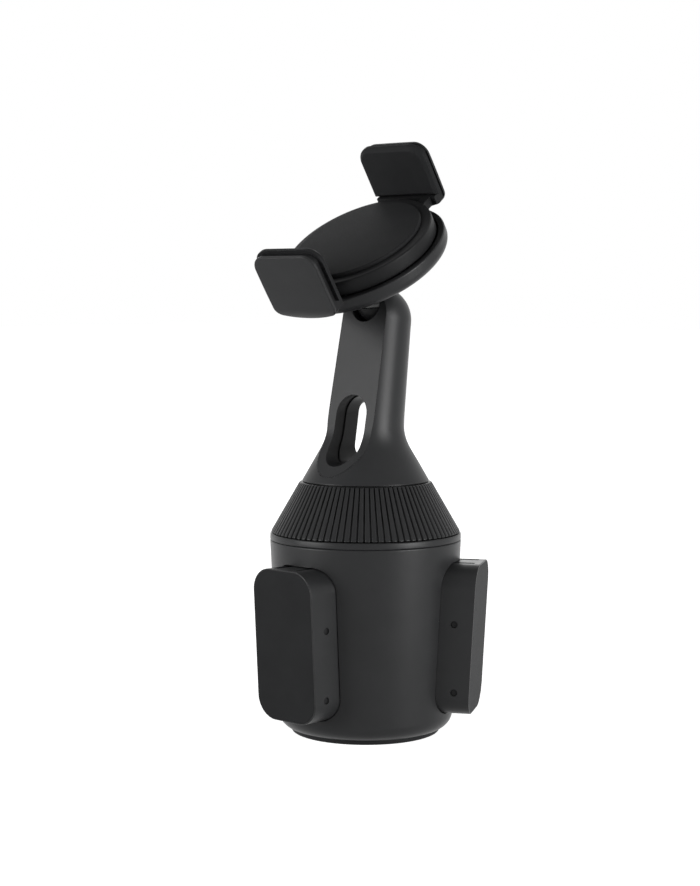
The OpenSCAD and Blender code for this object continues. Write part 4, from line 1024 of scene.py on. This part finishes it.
# Name, field, grid, slot and replaced node of each jaw's pieces
JAW_PIECES = (
    ("jaw_core_", jaw_core_field, CORE_GRID, "inner", "jaw_arm_"),
    ("jaw_case_", jaw_shell_field, SHELL_GRID, "panel", "jaw_shell_"),
    ("jaw_grip_", jaw_liner_field, LINER_GRID, "pad_rubber", "jaw_liner_"),
)
for side, matrix in JAW_FRAMES.items():
    for name, field, grid, slot, node in JAW_PIECES:
        thing = field_object(name + side, field, grid, matrix)
        dress(thing, "jaw_" + side, slot, node + side)


# Camera, floor and light

WORLD_LIGHT = 0.06
FULL_WHITE = 1.0
# The floor's glow at the object and how far off it has risen to white, in metres
FLOOR_GLOW = 0.82
GLOW_FROM = 0.1
GLOW_TO = 0.8
FLOOR_HALF_W = 6
FLOOR_GREY = (0.8, 0.8, 0.8, 1)
FLOOR_ROUGH = 0.9
FLOOR_SPECULAR = 0.1
WHITE = (1, 1, 1, 1)
CAMERA_SENSOR = 36
CAMERA_LENS = 79.26
CAMERA_SPOT = Vector((0.4098, -0.4919, 0.1447))
CAMERA_WAY = Vector((-0.6443, 0.7609, -0.0769))
LIGHT_TARGET = (0, 0, 0.08)
# Name, place and size in metres, and power in watts
LIGHTS = [
    ("left", (-0.592, -1.114, 0.330), 0.7, 18),
    ("right", (1.265, 0.133, 0.350), 0.7, 13),
    ("low", (0.8, 0.06, 0.05), 0.3, 4),
    ("back", (-0.9, 0.9, 0.6), 0.7, 3),
]


def aimed(thing, spot, target):
    thing.location = spot
    thing.rotation_euler = (Vector(target) - Vector(spot)).to_track_quat("-Z", "Y").to_euler()


camera_data = bpy.data.cameras.new("camera")
camera_data.sensor_width = CAMERA_SENSOR
camera_data.lens = CAMERA_LENS
camera = bpy.data.objects.new("camera", camera_data)
bpy.context.scene.collection.objects.link(camera)
aimed(camera, CAMERA_SPOT, CAMERA_SPOT + CAMERA_WAY)
bpy.context.scene.camera = camera


def seen_white(tree):
    """One for camera rays, reflections and rays through something clear, and nought for other rays."""
    path = tree.nodes.new("ShaderNodeLightPath")
    either = tree.nodes.new("ShaderNodeMath")
    either.operation = "MAXIMUM"
    every = tree.nodes.new("ShaderNodeMath")
    every.operation = "MAXIMUM"
    tree.links.new(path.outputs["Is Camera Ray"], either.inputs[0])
    tree.links.new(path.outputs["Is Glossy Ray"], either.inputs[1])
    tree.links.new(either.outputs["Value"], every.inputs[0])
    tree.links.new(path.outputs["Is Transmission Ray"], every.inputs[1])
    return every.outputs["Value"]


world = bpy.data.worlds.new("studio")
bpy.context.scene.world = world
world.use_nodes = True
tree = world.node_tree
tree.nodes.clear()
out = tree.nodes.new("ShaderNodeOutputWorld")
plain = tree.nodes.new("ShaderNodeBackground")
plain.inputs["Color"].default_value = WHITE
plain.inputs["Strength"].default_value = WORLD_LIGHT
bright = tree.nodes.new("ShaderNodeBackground")
bright.inputs["Color"].default_value = WHITE
bright.inputs["Strength"].default_value = FULL_WHITE
mix = tree.nodes.new("ShaderNodeMixShader")
tree.links.new(seen_white(tree), mix.inputs["Fac"])
tree.links.new(plain.outputs["Background"], mix.inputs[1])
tree.links.new(bright.outputs["Background"], mix.inputs[2])
tree.links.new(mix.outputs["Shader"], out.inputs["Surface"])


def soft_light(name, spot, size, power):
    """Square soft box that points at the middle of the object."""
    data = bpy.data.lights.new(name, "AREA")
    data.size = size
    data.energy = power
    lamp = bpy.data.objects.new(name, data)
    bpy.context.scene.collection.objects.link(lamp)
    aimed(lamp, spot, LIGHT_TARGET)


for name, spot, size, power in LIGHTS:
    soft_light(name, spot, size, power)

# Floor: to the camera and in reflections it glows to white, and its own shading keeps the object's shadow
floor_mesh = bpy.data.meshes.new("floor")
floor_corners = [(a*FLOOR_HALF_W, b*FLOOR_HALF_W, 0) for a, b in ((-1, -1), (1, -1), (1, 1), (-1, 1))]
floor_mesh.from_pydata(floor_corners, [], [(0, 1, 2, 3)])
floor = bpy.data.objects.new("floor", floor_mesh)
bpy.context.scene.collection.objects.link(floor)
floor_material = bpy.data.materials.new("floor")
tree, shader = nodes_of(floor_material)
shader.inputs["Base Color"].default_value = FLOOR_GREY
shader.inputs["Roughness"].default_value = FLOOR_ROUGH
shader.inputs["Specular IOR Level"].default_value = FLOOR_SPECULAR
shader.inputs["Emission Color"].default_value = WHITE
place_node = tree.nodes.new("ShaderNodeTexCoord")
away = tree.nodes.new("ShaderNodeVectorMath")
away.operation = "LENGTH"
tree.links.new(place_node.outputs["Object"], away.inputs[0])
glow = tree.nodes.new("ShaderNodeMath")
glow.operation = "MULTIPLY"
risen = ranged(tree, away.outputs["Value"], GLOW_FROM, GLOW_TO, FLOOR_GLOW, FULL_WHITE)
tree.links.new(risen, glow.inputs[0])
tree.links.new(seen_white(tree), glow.inputs[1])
tree.links.new(glow.outputs["Value"], shader.inputs["Emission Strength"])
floor_mesh.materials.append(floor_material)

bpy.context.scene.view_settings.view_transform = "Standard"
